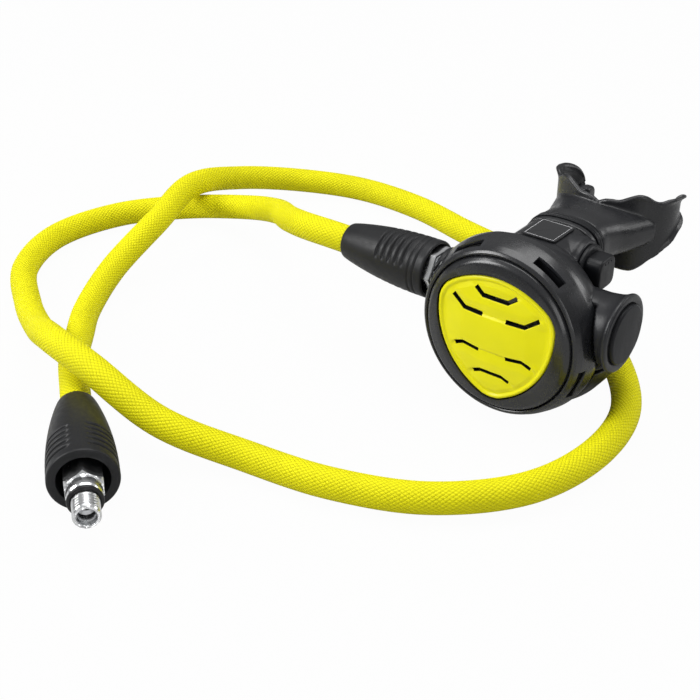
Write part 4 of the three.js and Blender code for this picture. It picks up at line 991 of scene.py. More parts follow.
class REGULATOR_OT_inlet_nuts(bpy.types.Operator):
    """Make the chromed swivel nut and lock nut at the case's inlet"""

    bl_idname = "regulator.inlet_nuts"
    bl_label = "Inlet nuts"

    def execute(self, context):
        swivel = hex_body("swivel_hex", NUT_AF, NUT_START_X, NUT_END_X, VALVE_Y, VALVE_Z, False)
        cut(swivel, rod("bore", 6.95, NUT_START_X + 1.2, NUT_END_X + 0.9),
            rod("neck", 4.35, NUT_START_X - 1, NUT_START_X + 2, sides=48))
        round_edges(swivel, 0.22, 2)
        keep(swivel, finish_of("chrome"), "regulator", "swivel_nut")
        lock = along_x("lock_ring", rounded(LOCK_RING, 0.1, 3), sides=72)
        shade(lock)
        keep(lock, finish_of("chrome"), "regulator", "inlet_lock_nut")
        return {"FINISHED"}


# The end fitting is modelled on a line along X through HOME and then carried to the hose's far end.
HOME = -ORIGIN
HEX_START_X = 46.0
DUCT_R = 2.0
DUCT_END_X = 73.0
BORE_STEP_X = 78.0
THREAD_DEPTH = 0.8
THREAD_SIDES = 72
THREAD_STEP = 0.13
SEAL_HALF = 0.95  # half the sealing ring's thickness


def set_on_end(piece):
    piece.data.transform(Matrix.Translation(END_START * MM)
                         @ Matrix.Rotation(math.radians(END_ANGLE), 4, "Z"))


def end_turned(name, profile, sides):
    """A profile of [radius, station along the hose's far end] spun about the fitting's line."""
    return along_x(name, [(r, HOME.x + t) for r, t in profile], HOME.y, HOME.z, sides)


def thread():
    """The fitting's thread: rings whose radius follows the helix and runs out at both ends."""
    pitch, first, last = sizes().thread_pitch / MM, END_THREAD_X, END_NOSE_X
    angles = [2 * math.pi * k / THREAD_SIDES for k in range(THREAD_SIDES)]

    def ring(x, depth, narrowed):
        made = []
        for a in angles:
            groove = 0.5 + 0.5 * math.cos(2 * math.pi * x / pitch - a)
            r = THREAD_R - depth * groove ** 1.3 - narrowed
            made.append(Vector((x, r * math.cos(a), r * math.sin(a))) * MM)
        return made

    sections, x = [], first + 0.1
    while x < last - 0.1:
        ease = min((x - first) / 0.8, 1.0) * min(max((last - 0.8 - x) / 0.6, 0.0), 1.0)
        sections.append(ring(x, THREAD_DEPTH * ease, max(x - last + 0.8, 0.0) * 0.7))
        x += THREAD_STEP
    return skinned("thread", [*sections, ring(last, 0.0, 0.56)])


class REGULATOR_OT_end_fitting(bpy.types.Operator):
    """Make the threaded fitting at the hose's far end, with its sealing ring"""

    bl_idname = "regulator.end_fitting"
    bl_label = "End fitting"

    def execute(self, context):
        fitting = hex_body("hex_fitting", END_AF, HOME.x + HEX_START_X, HOME.x + END_COLLAR_X, HOME.y, HOME.z,
                           True, 30.0)
        seat, start, foot = END_SEAT_X, END_THREAD_X, END_COLLAR_R - 0.6
        collar = rounded([
            (0, END_COLLAR_X - 1), (foot, END_COLLAR_X - 1, 0.0), (foot, END_COLLAR_X),
            (END_COLLAR_R, END_COLLAR_X + 0.8, 0.4), (END_COLLAR_R, seat - 1, 0.3),
            (END_COLLAR_R - 0.4, seat, 0.2), (END_NECK_R, seat, 0.2), (END_NECK_R, start - 0.2, 0.1),
            (THREAD_R, start + 0.3), (0, start + 0.3),
        ], 0.25, 4)
        add(fitting, end_turned("collar", collar, 80), thread())
        bore = [(0, DUCT_END_X - 1), (DUCT_R + 0.6, DUCT_END_X - 1), (DUCT_R + 0.6, BORE_STEP_X),
                (END_BORE_R, BORE_STEP_X + 1.2), (END_BORE_R, END_NOSE_X - 0.5),
                (END_BORE_R + 0.5, END_NOSE_X + 0.3), (0, END_NOSE_X + 0.3)]
        duct = [(0, HEX_START_X - 1), (DUCT_R, HEX_START_X - 1), (DUCT_R, DUCT_END_X), (0, DUCT_END_X)]
        cut(fitting, end_turned("bore", bore, 64), end_turned("duct", duct, 48))
        round_edges(fitting, 0.16, 2, 42)
        # Faces inside the bore are marked for the near-black metal: painted shade in the bore.
        for face in fitting.data.polygons:
            x, y, z = face.center / MM - HOME
            face.material_index = int(x < END_NOSE_X - 1.2 and math.hypot(y, z) < END_BORE_R + 0.1)
        set_on_end(fitting)
        keep(fitting, finish_of("chrome"), "regulator", "end_fitting",
             print_or_painted_shade=finish_of("bore_painted_shade"))
        middle = (END_NECK_R + CLEAR + SEAL_HALF, seat + CLEAR + SEAL_HALF)
        seal = end_turned("end_seal", disc(SEAL_HALF, *middle), 72)
        shade(seal, 60)
        set_on_end(seal)
        keep(seal, finish_of("seal_rubber"), "regulator", "end_o_ring")
        return {"FINISHED"}


# ---------- front ----------
LIP_R = GROOVE_R + 0.15
COVER_R = GROOVE_R - 0.2
COVER_BACK_Y = 2.6


def water_slots(r0, r1):
    return [pushed_y("slot", sector(r0, r1, a - SLOT_HALF_ANGLE, a + SLOT_HALF_ANGLE), *SLOT_Y)
            for a in SLOT_ANGLES]


class REGULATOR_OT_ring(bpy.types.Operator):
    """Make the retaining ring with its four water slots"""

    bl_idname = "regulator.ring"
    bl_label = "Retaining ring"

    def execute(self, context):
        wide = sizes().ring_radius / MM
        profile = [
            (LIP_R, 2.9, 0.0), (LIP_R, -0.3, 0.3), (35.9, -0.8, 0.5), (37.1, 0.2, 1.4), (38.4, 3.0, 6.0),
            (wide - 0.8, 7.0, 10.0), (wide, 10.4, 6.0), (wide, RING_REAR_Y - 0.5, 0.4),
            (wide - 0.5, RING_REAR_Y, 0.2), (38.0, RING_REAR_Y, 0.15), (38.0, 4.2, 0.1), (31.5, 4.2, 0.15),
            (31.5, 3.0, 0.15), (LIP_R, 3.0, 0.0),
        ]
        ring = turned("bezel_ring", rounded(profile, 0.3, 5, 4.0), sides=160)
        cut(ring, *water_slots(36.0, 44.0))
        round_edges(ring, 0.35, 3, 42)
        keep(ring, finish_of("ring_plastic"), "regulator", "retaining_ring")
        return {"FINISHED"}


class REGULATOR_OT_cover(bpy.types.Operator):
    """Make the front cover with its shield-shaped window"""

    bl_idname = "regulator.cover"
    bl_label = "Front cover"

    def execute(self, context):
        profile = [(0, -3.8, 0.0), (28.3, -3.8, 8.0), (32.8, -2.6, 3.5), (34.3, -1.1, 1.2),
                   (COVER_R, 0.0, 0.6), (COVER_R, COVER_BACK_Y, 0.2), (0, COVER_BACK_Y, 0.0)]
        cover = turned("dished_cover", rounded(profile, 0.3, 6, 4.0), sides=160)
        cut(cover, pushed_y("window", shield(0.45), -12, 12))
        round_edges(cover, 0.4, 3, 50)
        keep(cover, finish_of("ring_plastic"), "regulator", "front_cover")
        return {"FINISHED"}


UPPER_LINE = ((-9.7, 21.0), (-5.9, 18.0), (5.9, 18.0), (9.7, 21.0))
SHOULDER_LINE = ((-20.5, 14.2), (-14.4, 9.7), (-5.6, 9.5))
WAIST_LINE = ((-18.5, -8.6), (-14.3, -6.8), (-6.5, -7.7))
LOWER_LINE = ((-8.7, -18.8), (-5.2, -17.3), (5.2, -17.3), (8.7, -18.8))


def mirrored(line):
    return tuple((-x, z) for x, z in reversed(line))


SLOT_LINES = (UPPER_LINE, SHOULDER_LINE, mirrored(SHOULDER_LINE), WAIST_LINE, mirrored(WAIST_LINE),
              LOWER_LINE)
# Creases of the button's relief: they carry on from the slots towards the rim and across the middle.
# The face is deepest along them and rises gently on one side and steeply on the other.
CREASES = (
    ((-13.6, 24.4), *UPPER_LINE, (13.6, 24.4)),
    ((-24.6, 17.6), *SHOULDER_LINE, *mirrored(SHOULDER_LINE), (24.6, 17.6)),
    ((-22.4, -11.6), *WAIST_LINE, *mirrored(WAIST_LINE), (22.4, -11.6)),
    ((-12.4, -21.2), *LOWER_LINE, (12.4, -21.2)),
)


CREASE_DEPTH = 0.8
GENTLE_SIDE = 5.0
STEEP_SIDE = 1.2
CREASE_FADE = 2.5
# Beyond FACET_X the face falls away, between a foot and a top with soft ends.
FACET_X = 15.5
FACET_Z = (-9.0, 13.0)
FACET_BLEND = 3.0
FACET_FALL = 0.09


def height_of_line(line, x):
    """Where a crease passes at x, or None beyond its ends."""
    for (x0, z0), (x1, z1) in zip(line, line[1:]):
        if x0 <= x <= x1:
            return z0 + (z1 - z0) * (x - x0) / (x1 - x0)
    return None


def relief(x, z):
    """Depth of the button's face below its dome, in mm."""
    depth = 0.0
    for i, line in enumerate(CREASES):
        crossing = height_of_line(line, x)
        if crossing is None:
            continue
        fade = min((line[-1][0] - abs(x)) / CREASE_FADE, 1.0)
        off = (z - crossing) * (1 if i < 2 else -1)
        if off >= 0:
            depth += CREASE_DEPTH * fade * max(1 - off / GENTLE_SIDE, 0.0) ** 1.4
        else:
            depth += CREASE_DEPTH * fade * max(1 + off / STEEP_SIDE, 0.0)
    foot, top = FACET_Z
    between_ends = min(max((z - foot) / FACET_BLEND, 0.0), max((top - z) / FACET_BLEND, 0.0), 1.0)
    return depth + FACET_FALL * max(abs(x) - FACET_X, 0.0) * between_ends


def near_line(line, x, z, width):
    """Whether a point lies within a width of a broken line."""
    for (x0, z0), (x1, z1) in zip(line, line[1:]):
        along = ((x - x0) * (x1 - x0) + (z - z0) * (z1 - z0)) / ((x1 - x0) ** 2 + (z1 - z0) ** 2)
        along = min(max(along, 0.0), 1.0)
        if math.hypot(x - x0 - (x1 - x0) * along, z - z0 - (z1 - z0) * along) < width:
            return True
    return False


BUTTON_MIDDLE = (0.0, -2.0)
BUTTON_REACH = 30.0  # at which the shrinking outline meets the middle
BUTTON_BACK_Y = -1.4
BUTTON_ROW = 0.3
PANEL_SUNK = 0.9  # inside the raised rim
STEM_END_Y = 7.7


def button_face(rim):
    """Rings over the button's front: up its side, over the raised rim and across the folded panel."""
    outline = shield(0.0)
    mx, mz = BUTTON_MIDDLE

    def dome(x, z):
        return BUTTON_FRONT_Y + BUTTON_DOME_R - math.sqrt(BUTTON_DOME_R ** 2 - x * x - z * z)

    def shrunk(by):
        f = 1 - by / BUTTON_REACH
        return [(mx + (x - mx) * f, mz + (z - mz) * f) for x, z in outline]

    rings = [[at(x, y, z) for x, z in shrunk(by)]
             for by, y in ((4.0, BUTTON_BACK_Y), (0.1, BUTTON_BACK_Y), (0.0, BUTTON_BACK_Y - 0.1))]
    over_rim = ((0.0, 1.6), (0.0, 1.0), (0.12, 0.55), (0.4, 0.22), (0.8, 0.06), (rim * 0.5, 0.0),
                (rim * 0.65, 0.03), (rim * 0.75, 0.12), (rim, 0.6), (rim + 0.2, 0.8), (rim + 0.6, PANEL_SUNK))
    for by, sunk in over_rim:
        rings.append([at(x, min(dome(x, z) + sunk, BUTTON_BACK_Y - 0.2), z) for x, z in shrunk(by)])
    by = rim + 0.9
    while by < BUTTON_REACH - 0.5:
        ease = min((by - rim - 0.6) / 2.0, 1.0)
        rings.append([at(x, dome(x, z) + PANEL_SUNK + ease * (relief(x, z) - 0.6), z) for x, z in shrunk(by)])
        by += BUTTON_ROW
    return rings + [[at(mx, dome(mx, mz) + PANEL_SUNK - 0.6, mz)] * len(outline)]


class REGULATOR_OT_button(bpy.types.Operator):
    """Make the yellow purge button: domed shield, raised rim, folded relief and water slots"""

    bl_idname = "regulator.button"
    bl_label = "Purge button"

    def execute(self, context):
        button = skinned("purge_shield", button_face(sizes().button_rim / MM))
        width = sizes().button_slot / MM
        cut(button, *[pushed_y("slot", band_along(line, width), -12, 12) for line in SLOT_LINES])
        stem = [(0, -2.2, 0.0), (STEM_R, -2.2, 0.0), (STEM_R, STEM_END_Y, 0.4), (0, STEM_END_Y, 0.0)]
        add(button, turned("stem", rounded(stem, 0.3, 3), sides=40))
        # The slots' side walls are marked for the near-black finish: painted shade inside the slots.
        for face in button.data.polygons:
            x, _, z = face.center / MM - ORIGIN
            beside = any(near_line(line, x, z, width * 0.75) for line in SLOT_LINES)
            face.material_index = int(beside and abs(face.normal.y) < 0.6)
        shade(button, 30)
        keep(button, finish_of("button_plastic"), "purge_button", "purge_button",
             print_or_painted_shade=finish_of("slot_painted_shade"))
        return {"FINISHED"}


class REGULATOR_OT_grille(bpy.types.Operator):
    """Make the spoked grille behind the purge button"""

    bl_idname = "regulator.grille"
    bl_label = "Purge grille"

    def execute(self, context):
        profile = [(0, 4.5), (NECK_R, 4.5), (NECK_R, 8.3), (34.0, 8.3), (34.0, 5.9), (0, 5.9)]
        grille = turned("spoked_grille", rounded(profile, 0.2, 3), sides=120)
        windows = [pushed_y("window", sector(7.4, 31.5, a + 5, a + 55, 14), 3.5, 6.9)
                   for a in range(0, 360, 60)]
        cut(grille, *windows, *water_slots(31.3, 44.0),
            turned("stem_hole", [(0, 3), (STEM_R + 0.5, 3), (STEM_R + 0.5, 7), (0, 7)], sides=40))
        round_edges(grille, 0.15, 2, 42)
        keep(grille, finish_of("knob_plastic"), "regulator", "purge_grille")
        return {"FINISHED"}


# ---------- case ----------
def block(x0, x1, y0, y1, z0, z1):
    return pushed_x("block", [(y0, z0), (y1, z0), (y1, z1), (y0, z1)], x0, x1)


def slope_tool(lower):
    """What lies above the case's slope down to the flat top of the mouthpiece tube."""
    z = TUBE_Z + TUBE_H / 2 - lower
    outline = [(20.8, z), (14, z + 6.8), (14, 60), (62, 60), (62, z)]
    return pushed_x("slope", rounded(outline, 3.0, 6), -30, 30)


def knob_rod(name, r, x0, x1):
    return rod(name, r, x0, x1, KNOB_Y, KNOB_Z)


class REGULATOR_OT_case(bpy.types.Operator):
    """Make the case: bowl, mouthpiece tube, valve bosses and knob boss moulded in one"""

    bl_idname = "regulator.case"
    bl_label = "Case"

    def execute(self, context):
        bowl_line = blended([(BOWL_R, 15.3), (38.7, 19.0), (36.4, 24.0), (33.2, 29.0), (30.4, 33.0)], 4)
        case = turned("case_shell", [
            (0, NECK_Y), (NECK_R, NECK_Y), (NECK_R, SHOULDER_Y), (BOWL_R, SHOULDER_Y), *bowl_line,
            (28.6, BOWL_BACK_Y), (0, BOWL_BACK_Y)], sides=160)
        cut(case, slope_tool(0.0), knob_rod("pocket", KNOB_BOSS_R - 0.4, KNOB_BOSS_X, 44))
        flare = blended([
            (14.6, 36.0), (15.2, 41.0), (16.0, 43.8), (16.8, 45.2), (17.0, 45.8), (16.7, 46.6),
            (16.0, RIGHT_BOSS_X)], 4)
        right = along_x("right_boss", [(0, 20), (14.6, 20), *flare, (0, RIGHT_BOSS_X)])
        brace = blended([(21.4, 24), (21.4, 34), (18.4, 39), (15.2, 43.8)], 5)
        gusset = along_x("gusset", [(0, 24), *brace, (0, 43.8)])
        combine(gusset, "INTERSECT", block(
            0, 60, SHOULDER_Y, BOWL_BACK_Y - 0.8, TEE_CHEEK_Z + CLEAR, VALVE_Z))
        cut(right, knob_rod("knob_room", KNOB_BOSS_R, 15, 30))
        tube = pushed_y("tube", stadium(TUBE_W, TUBE_H, TUBE_Z), SHOULDER_Y + 0.2, TUBE_END_Y)
        spigot = pushed_y("spigot", stadium(SPIGOT_W, SPIGOT_H, TUBE_Z), TUBE_END_Y - 1, SPIGOT_END_Y)
        boss = along_x("knob_boss", [
            (0, 4), (KNOB_BOSS_R + 1, 4), (KNOB_BOSS_R + 0.9, 14.6), (KNOB_BOSS_R, 16.2),
            (KNOB_BOSS_R, KNOB_BOSS_X - 0.4), (KNOB_BOSS_R - 0.4, KNOB_BOSS_X), (0, KNOB_BOSS_X),
        ], KNOB_Y, KNOB_Z)
        cut(boss, pushed_x("behind", [(46.2, 0), (60, 0), (60, 60), (46.2, 60)], 0, 30))
        add(case, turned_at_exhaust("seat", [(0, 27), (12.4, 27), (12.4, BOWL_BACK_Y), (0, BOWL_BACK_Y)]),
            right, gusset, rod("left_boss", 12.0, LEFT_BOSS_X, -20), tube, spigot, boss)
        hollow = turned("hollow", [
            (0, 10), (NECK_IN_R, 10), (NECK_IN_R, 14.9), (36.4, 17.1), (34.6, 23), (31.2, 28),
            (26.2, 32.6), (0, 32.6)], sides=96)
        cut(hollow, slope_tool(2.4), knob_rod("pocket", KNOB_BOSS_R + 1.4, KNOB_BOSS_X - 1.8, 44))
        cut(case, hollow,
            turned("ring_space", [(NECK_R, -10), (41.6, -10), (41.6, SHOULDER_Y), (NECK_R, SHOULDER_Y)]),
            turned("front_space", [(0, -10), (38.6, -10), (38.6, NECK_Y), (0, NECK_Y)]),
            pushed_y("airway", stadium(TUBE_W - 4.4, TUBE_H - 4.4, TUBE_Z), 24, 45),
            pushed_y("spigot_bore", stadium(SPIGOT_W - 3.6, SPIGOT_H - 3.6, TUBE_Z), 44, 62),
            rod("tube_bore", 5.55, LEFT_BOSS_X - 2, 42), rod("cap_bore", CAP_SPIGOT_R + 0.35, 40, 49),
            rod("cap_seat", CAP_R + CLEAR, 45.7, 49), knob_rod("stem_bore", 3.35, 2, 20),
            knob_rod("seal_bore", 5.3, 15.2, 20),
            *[pushed_y("port", disc(4.0, 6.6 * math.cos(a), EXHAUST_Z + 6.6 * math.sin(a)), 26, 38)
              for a in (0, math.pi / 2, math.pi, 1.5 * math.pi)],
            pushed_y("stem_port", disc(1.7, 0, EXHAUST_Z), 28, 38))
        mould(case, 0.55, 3)
        keep(case, finish_of("case_plastic"), "regulator", "case")
        return {"FINISHED"}


def turned_at_exhaust(name, profile, sides=64):
    piece = turned(name, profile, sides=sides)
    piece.data.transform(Matrix.Translation(Vector((0, 0, EXHAUST_Z * MM))))
    return piece


class REGULATOR_OT_side_cap(bpy.types.Operator):
    """Make the round cap that closes the case's right boss"""

    bl_idname = "regulator.side_cap"
    bl_label = "Side cap"

    def execute(self, context):
        r, bore = CAP_SPIGOT_R, CAP_SPIGOT_R - 1.8
        profile = [(0, 45.6, 0.0), (bore, 45.6, 0.3), (bore, 42.0, 0.3), (r, 42.0, 0.4), (r, 46.0, 0.1),
                   (CAP_R, 46.0, 0.2), (CAP_R, CAP_FACE_X, 1.3), (0, CAP_FACE_X, 0.0)]
        cap = along_x("flat_cap", rounded(profile, 0.3, 5, 5.0), sides=120)
        shade(cap, 40)
        keep(cap, finish_of("cap_plastic"), "regulator", "side_cap")
        return {"FINISHED"}


class REGULATOR_OT_knob(bpy.types.Operator):
    """Make the square-gripped venturi knob"""

    bl_idname = "regulator.knob"
    bl_label = "Venturi knob"

    def execute(self, context):
        stem = rounded([
            (0, 11, 0), (3.0, 11, 0.3), (3.0, KNOB_FLANGE_X, 0.1), (10.3, KNOB_FLANGE_X, 0.3),
            (10.3, KNOB_FLANGE_X + 1.4, 0.5), (9.5, KNOB_FLANGE_X + 2, 0.4), (0, KNOB_FLANGE_X + 2, 0),
        ], 0.3, 4)
        knob = along_x("square_knob", stem, KNOB_Y, KNOB_Z)
        grip = pushed_x("grip", rounded_square(KNOB_GRIP, KNOB_CORNER, KNOB_Y, KNOB_Z), KNOB_FLANGE_X + 1,
                        KNOB_FACE_X)
        round_edges(grip, 1.5, 6, 50)
        add(knob, grip)
        dimples = [disc(0.42, KNOB_Y + off, KNOB_Z + 5.0, 16) for off in (-2.6, 0.0, 2.6)]
        cut(knob, *[pushed_x("dimple", dimple, KNOB_FACE_X - 0.4, KNOB_FACE_X + 1) for dimple in dimples])
        round_edges(knob, 0.12, 2, 48)
        keep(knob, finish_of("knob_plastic"), "venturi_control", "venturi_knob")
        return {"FINISHED"}


class REGULATOR_OT_exhaust(bpy.types.Operator):
    """Make the exhaust cover that wraps the bottom of the case"""

    bl_idname = "regulator.exhaust"
    bl_label = "Exhaust cover"

    def execute(self, context):
        back = blended([(TEE_R, 25.0), (TEE_R, 37.0), (40.8, 42.6), (36.4, 47.0), (30.8, TEE_BACK_Y)], 5)
        tee = turned("exhaust_shell", [
            (0, TEE_FRONT_Y), (BOWL_R + 1, TEE_FRONT_Y), (BOWL_R + 1.6, TEE_FRONT_Y + 1.6), *back,
            (0, TEE_BACK_Y)], sides=160)
        inner = turned("fit", [
            (0, 35.3), (32.0, 35.3), (36.4, 30), (38.8, 24.2), (39.8, 19), (39.8, 15), (TEE_R, 15),
            (TEE_R, 14), (0, 14)], sides=120)
        room = turned("room", [
            (0, 33), (35.4, 33), (40.6, 36.6), (38.8, 41.6), (34.8, 45), (29.6, TEE_BACK_Y - TEE_WALL),
            (0, TEE_BACK_Y - TEE_WALL)], sides=120)

        far, ceiling = 80, TEE_TOP_Z - TEE_WALL
        cut(room, block(-far, far, -far, far, ceiling, far))
        outlets = [block(x0, x1, 37.4, 43.6, -27, ceiling) for x0, x1 in ((27, far), (-far, -27))]
        above = block(-far, far, -far, far, TEE_TOP_Z, far)
        over_cheeks = block(-far, far, -far, 34.5, TEE_CHEEK_Z, far)
        below = block(-far, far, -far, far, -far, -ORIGIN.z)
        cut(tee, above, over_cheeks, inner, room, *outlets, below)
        mould(tee, 0.5, 3)
        keep(tee, finish_of("case_plastic"), "regulator", "exhaust_tee")
        return {"FINISHED"}


# ---------- mouthpiece ----------
def on_oval(angle, grow):
    return ((FLANGE_RX + grow) * math.sin(angle), FLANGE_Y - (FLANGE_RY + grow) * math.cos(angle))


def looked_up(rows, key):
    """The numbers of a table at a key between two of its rows."""
    for low, high in zip(rows, rows[1:]):
        if key <= high[0]:
            f = (key - low[0]) / (high[0] - low[0])
            return [a + (b - a) * f for a, b in zip(low[1:], high[1:])]
    return rows[-1][1:]


def flange_section(rows, degrees):
    """The lip flange cut across at an angle round to one side: a bar with rolled and curled rims."""
    angle = math.radians(degrees)
    top, foot = looked_up(rows, abs(degrees))
    middle, reach = (top - foot) / 2, (top + foot) / 2
    half, roll = 0.95, min(1.25 + 0.5 * eased(abs(degrees), 92.0, 112.0), reach - 0.05)
    rim = min(reach * 2 / 3, 4.0)
    curl = FLANGE_CURL * eased(abs(degrees), 62.0, 80.0) * (1 - 0.55 * eased(abs(degrees), 106.0, 124.0))
    from_end = (FLANGE_EDGE[-1][0] - abs(degrees)) * 0.45
    flat = [f * (reach - roll) for f in (0.94, 0.8, 0.6, 0.3, 0.0, -0.3, -0.6, -0.8, -0.94)]
    turns = [math.pi * k / 8 for k in range(9)]
    line = [(roll * math.cos(a), reach - roll + roll * math.sin(a)) for a in turns]
    line += [(-half, z) for z in flat]
    line += [(-roll * math.cos(a), roll - reach - roll * math.sin(a)) for a in turns]
    line += [(half, z) for z in reversed(flat)]
    made = []
    for side, z in line:
        x, y = on_oval(angle, side + curl * eased(rim - min(reach - abs(z), from_end), 0.0, rim))
        made.append(at(x, y, FLANGE_Z + middle + z))
    return made


def bite_tab(side):
    """A bite tab on one side of the mouth, with the lug that the teeth hold."""
    tab = blended([
        (85.4, 0, 4.6, 12.0), (90, 0.4, 3.7, 12.0), (FLANGE_Y, 1.2, 3.7, 12.0), (100.8, 1.2, 6.6, 12.0),
        (103.4, 1.4, 6.4, 11.6), (MOUTH_END_Y - 0.1, 1.6, 5.6, 10.0)], 4)
    sections = []
    for y, shift, thick, tall in tab:
        aside = Vector((side * (TAB_X - shift) * MM, 0, 0))
        sections.append([point + aside for point in oval(y, thick / 2, tall / 2, FLANGE_Z, 4, 24)])
    return skinned("tab", sections)


class REGULATOR_OT_mouthpiece(bpy.types.Operator):
    """Make the rubber mouthpiece: sleeve, lip flange with rolled rims and bite tabs"""

    bl_idname = "regulator.mouthpiece"
    bl_label = "Mouthpiece"

    def execute(self, context):
        w, h = MP_SLEEVE_W / 2, MP_SLEEVE_H / 2
        w_in, h_in = w - TIE_GROOVE, h - TIE_GROOVE
        collar = [(46.7, w, h, TUBE_Z), (49.6, w, h, TUBE_Z), (50.1, w_in, h_in, TUBE_Z),
                  (54.8, w_in, h_in, TUBE_Z), (55.2, w, h, TUBE_Z), (58.0, w, h, TUBE_Z)]
        flare = blended([(58.0, w, h, TUBE_Z), (61.0, w, h - 0.2, TUBE_Z), (68.0, w + 1.4, h - 0.8, 22.0),
                         (76.0, w + 4.2, h - 1.0, 21.2), (88.0, w + 8.0, h - 1.0, FLANGE_Z)], 5)
        body = skinned("bite_mouthpiece", [oval(y, a, b, z) for y, a, b, z in collar + flare[1:]])
        mouth = [on_oval(2 * math.pi * k / 72, 0) for k in range(72)]
        cut(body, pushed("mouth", [at(x, y, -10) for x, y in mouth], (0, 0, 0.06)))
        rows = blended(FLANGE_EDGE, 4)
        widest = FLANGE_EDGE[-1][0]
        flange = skinned("flange", [flange_section(rows, widest * (k / 42 - 1)) for k in range(85)])
        add(body, flange, bite_tab(-1), bite_tab(1))
        bore = [(45.7, 15.4, 9.4, TUBE_Z, 3.4), (60.3, 15.4, 9.4, TUBE_Z, 3.4), (63.0, 13.4, 7.4, 22.4, 2.6),
                (76.0, 14.0, 6.6, 21.2, 2.6), (FLANGE_Y, 14.0, 6.2, FLANGE_Z, 2.6)]
        cut(body, skinned("bore", [oval(*section) for section in bore]),
            block(-40, 40, FLANGE_END_Y - 0.1, 130, 0, 50))
        mould(body, 0.5, 3)
        keep(body, finish_of("mouthpiece_rubber"), "regulator", "mouthpiece")
        return {"FINISHED"}


class REGULATOR_OT_tie(bpy.types.Operator):
    """Make the tie band round the mouthpiece, with its catch underneath"""

    bl_idname = "regulator.tie"
    bl_label = "Mouthpiece tie"

    def execute(self, context):
        w, h = (size / 2 - TIE_GROOVE + CLEAR for size in (MP_SLEEVE_W, MP_SLEEVE_H))
        ribs = ((0.0, 0.0), (0.0, 0.75), (0.25, 1.0), (0.9, 1.0), (1.05, 0.8), (1.3, 0.8), (1.45, 1.0),
                (2.75, 1.0), (2.9, 0.8), (3.15, 0.8), (3.3, 1.0), (3.95, 1.0), (TIE_W, 0.75), (TIE_W, 0.0),
                (0.0, 0.0))
        sections = [oval(TIE_Y + along, w + up, h + up, TUBE_Z, sides=96) for along, up in ribs]
        band = skinned("tie_band", sections, "joined")
        low = TUBE_Z - h
        catch = rounded([(-3, low - 4), (3, low - 4), (3, low - 0.4), (-3, low - 0.4)], 0.6, 4)
        catch = pushed_y("catch", catch, TIE_Y, TIE_Y + TIE_W)
        round_edges(catch, 0.3, 2)
        add(band, catch)
        shade(band, 35)
        keep(band, finish_of("knob_plastic"), "regulator", "mouthpiece_tie")
        return {"FINISHED"}


PLATE_CORNERS = ((-8.0, 27.0), (8.0, 27.0), (8.0, 45.0), (-8.0, 45.0))
PLATE_T = 0.5
PLATE_MARGIN = 1.0
PLATE_LINE = 0.3


class REGULATOR_OT_badge(bpy.types.Operator):
    """Make the bare plate on top of the mouthpiece tube"""

    bl_idname = "regulator.badge"
    bl_label = "Top plate"

    def execute(self, context):
        foot = TUBE_Z + TUBE_H / 2 + CLEAR
        outline = rounded(PLATE_CORNERS, 1.4, 6)
        plate = pushed("top_plate", [at(x, y, foot) for x, y in outline], (0, 0, PLATE_T * MM))
        with editing(plate):
            bpy.ops.mesh.select_mode(type="FACE")
            mesh = bmesh.from_edit_mesh(plate.data)
            for face in mesh.faces:
                face.select = face.normal.z > 0.9
            bmesh.update_edit_mesh(plate.data)
            bpy.ops.mesh.inset(thickness=PLATE_MARGIN * MM)
            bpy.ops.mesh.inset(thickness=PLATE_LINE * MM)
            mesh = bmesh.from_edit_mesh(plate.data)
            for face in mesh.faces:
                beside = (other for edge in face.edges for other in edge.link_faces)
                if not face.select and any(other.select for other in beside):
                    face.material_index = 1
            bmesh.update_edit_mesh(plate.data)
            bpy.ops.mesh.select_mode(type="VERT")
        round_edges(plate, 0.1, 2, 30)
        keep(plate, finish_of("badge_plate"), "regulator", "badge_plate",
             print_or_painted_shade=finish_of("keyline"))
        return {"FINISHED"}


class REGULATOR_OT_inner_parts(bpy.types.Operator):
    """Give the valve, spring, seal and diaphragm parts inside the case their finishes"""

    bl_idname = "regulator.inner_parts"
    bl_label = "Inner parts"

    def execute(self, context):
        wears = {
            "chrome": ("valve_tube", "tube_end_nut"),
            "brass": ("orifice", "poppet", "spring_guide"),
            "turned_steel": ("purge_spring", "poppet_spring", "lever_nut", "demand_lever", "hose_ferrule",
                             "end_ferrule"),
            "silicone": ("diaphragm", "exhaust_valve"),
            "white_plastic": ("slip_ring", "diaphragm_plate"),
            "seal_rubber": ("seat_disc", "knob_o_ring"),
            "knob_plastic": ("venturi_vane",),
        }
        for finish, names in wears.items():
            for name in names:
                node = frame["nodes"][name]
                node.data.materials.clear()
                node.data.materials.append(finish_of(finish))
        return {"FINISHED"}


# ---------- stage ----------
WHITE = (1.0, 1.0, 1.0, 1.0)
FLOOR_SIZE = 24.0
FLOOR_DROP = 0.0004
# The floor, and its share of plain white where it is seen directly and in reflections.
FLOOR_COLOUR = (0.5, 0.5, 0.5, 1.0)
FLOOR_SEEN = 0.97
FLOOR_MIRRORED = 0.1
# Light of the room below a low height and above a high one, as the sine of the height.
ROOM_SINES = (-0.1, 0.8)
ROOM_LIGHT = (0.08, 0.4)
# Soft lamps: where each stands, what it points at, its width and height, in metres, and its power.
LAMPS = {
    "overhead": ((-0.1, 0.1, 1.3), (-0.05, -0.04, 0.02), (1.1, 0.9), 10.5),
    "left_front": ((-1.0, -0.9, 0.8), (-0.05, -0.05, 0.03), (0.7, 0.7), 14.0),
    "right_front": ((1.0, -0.8, 0.45), (0.0, -0.05, 0.03), (0.35, 0.8), 2.5),
    "right_back": ((0.8, 0.9, 0.6), (0.0, 0.0, 0.04), (0.7, 0.4), 3.0),
}


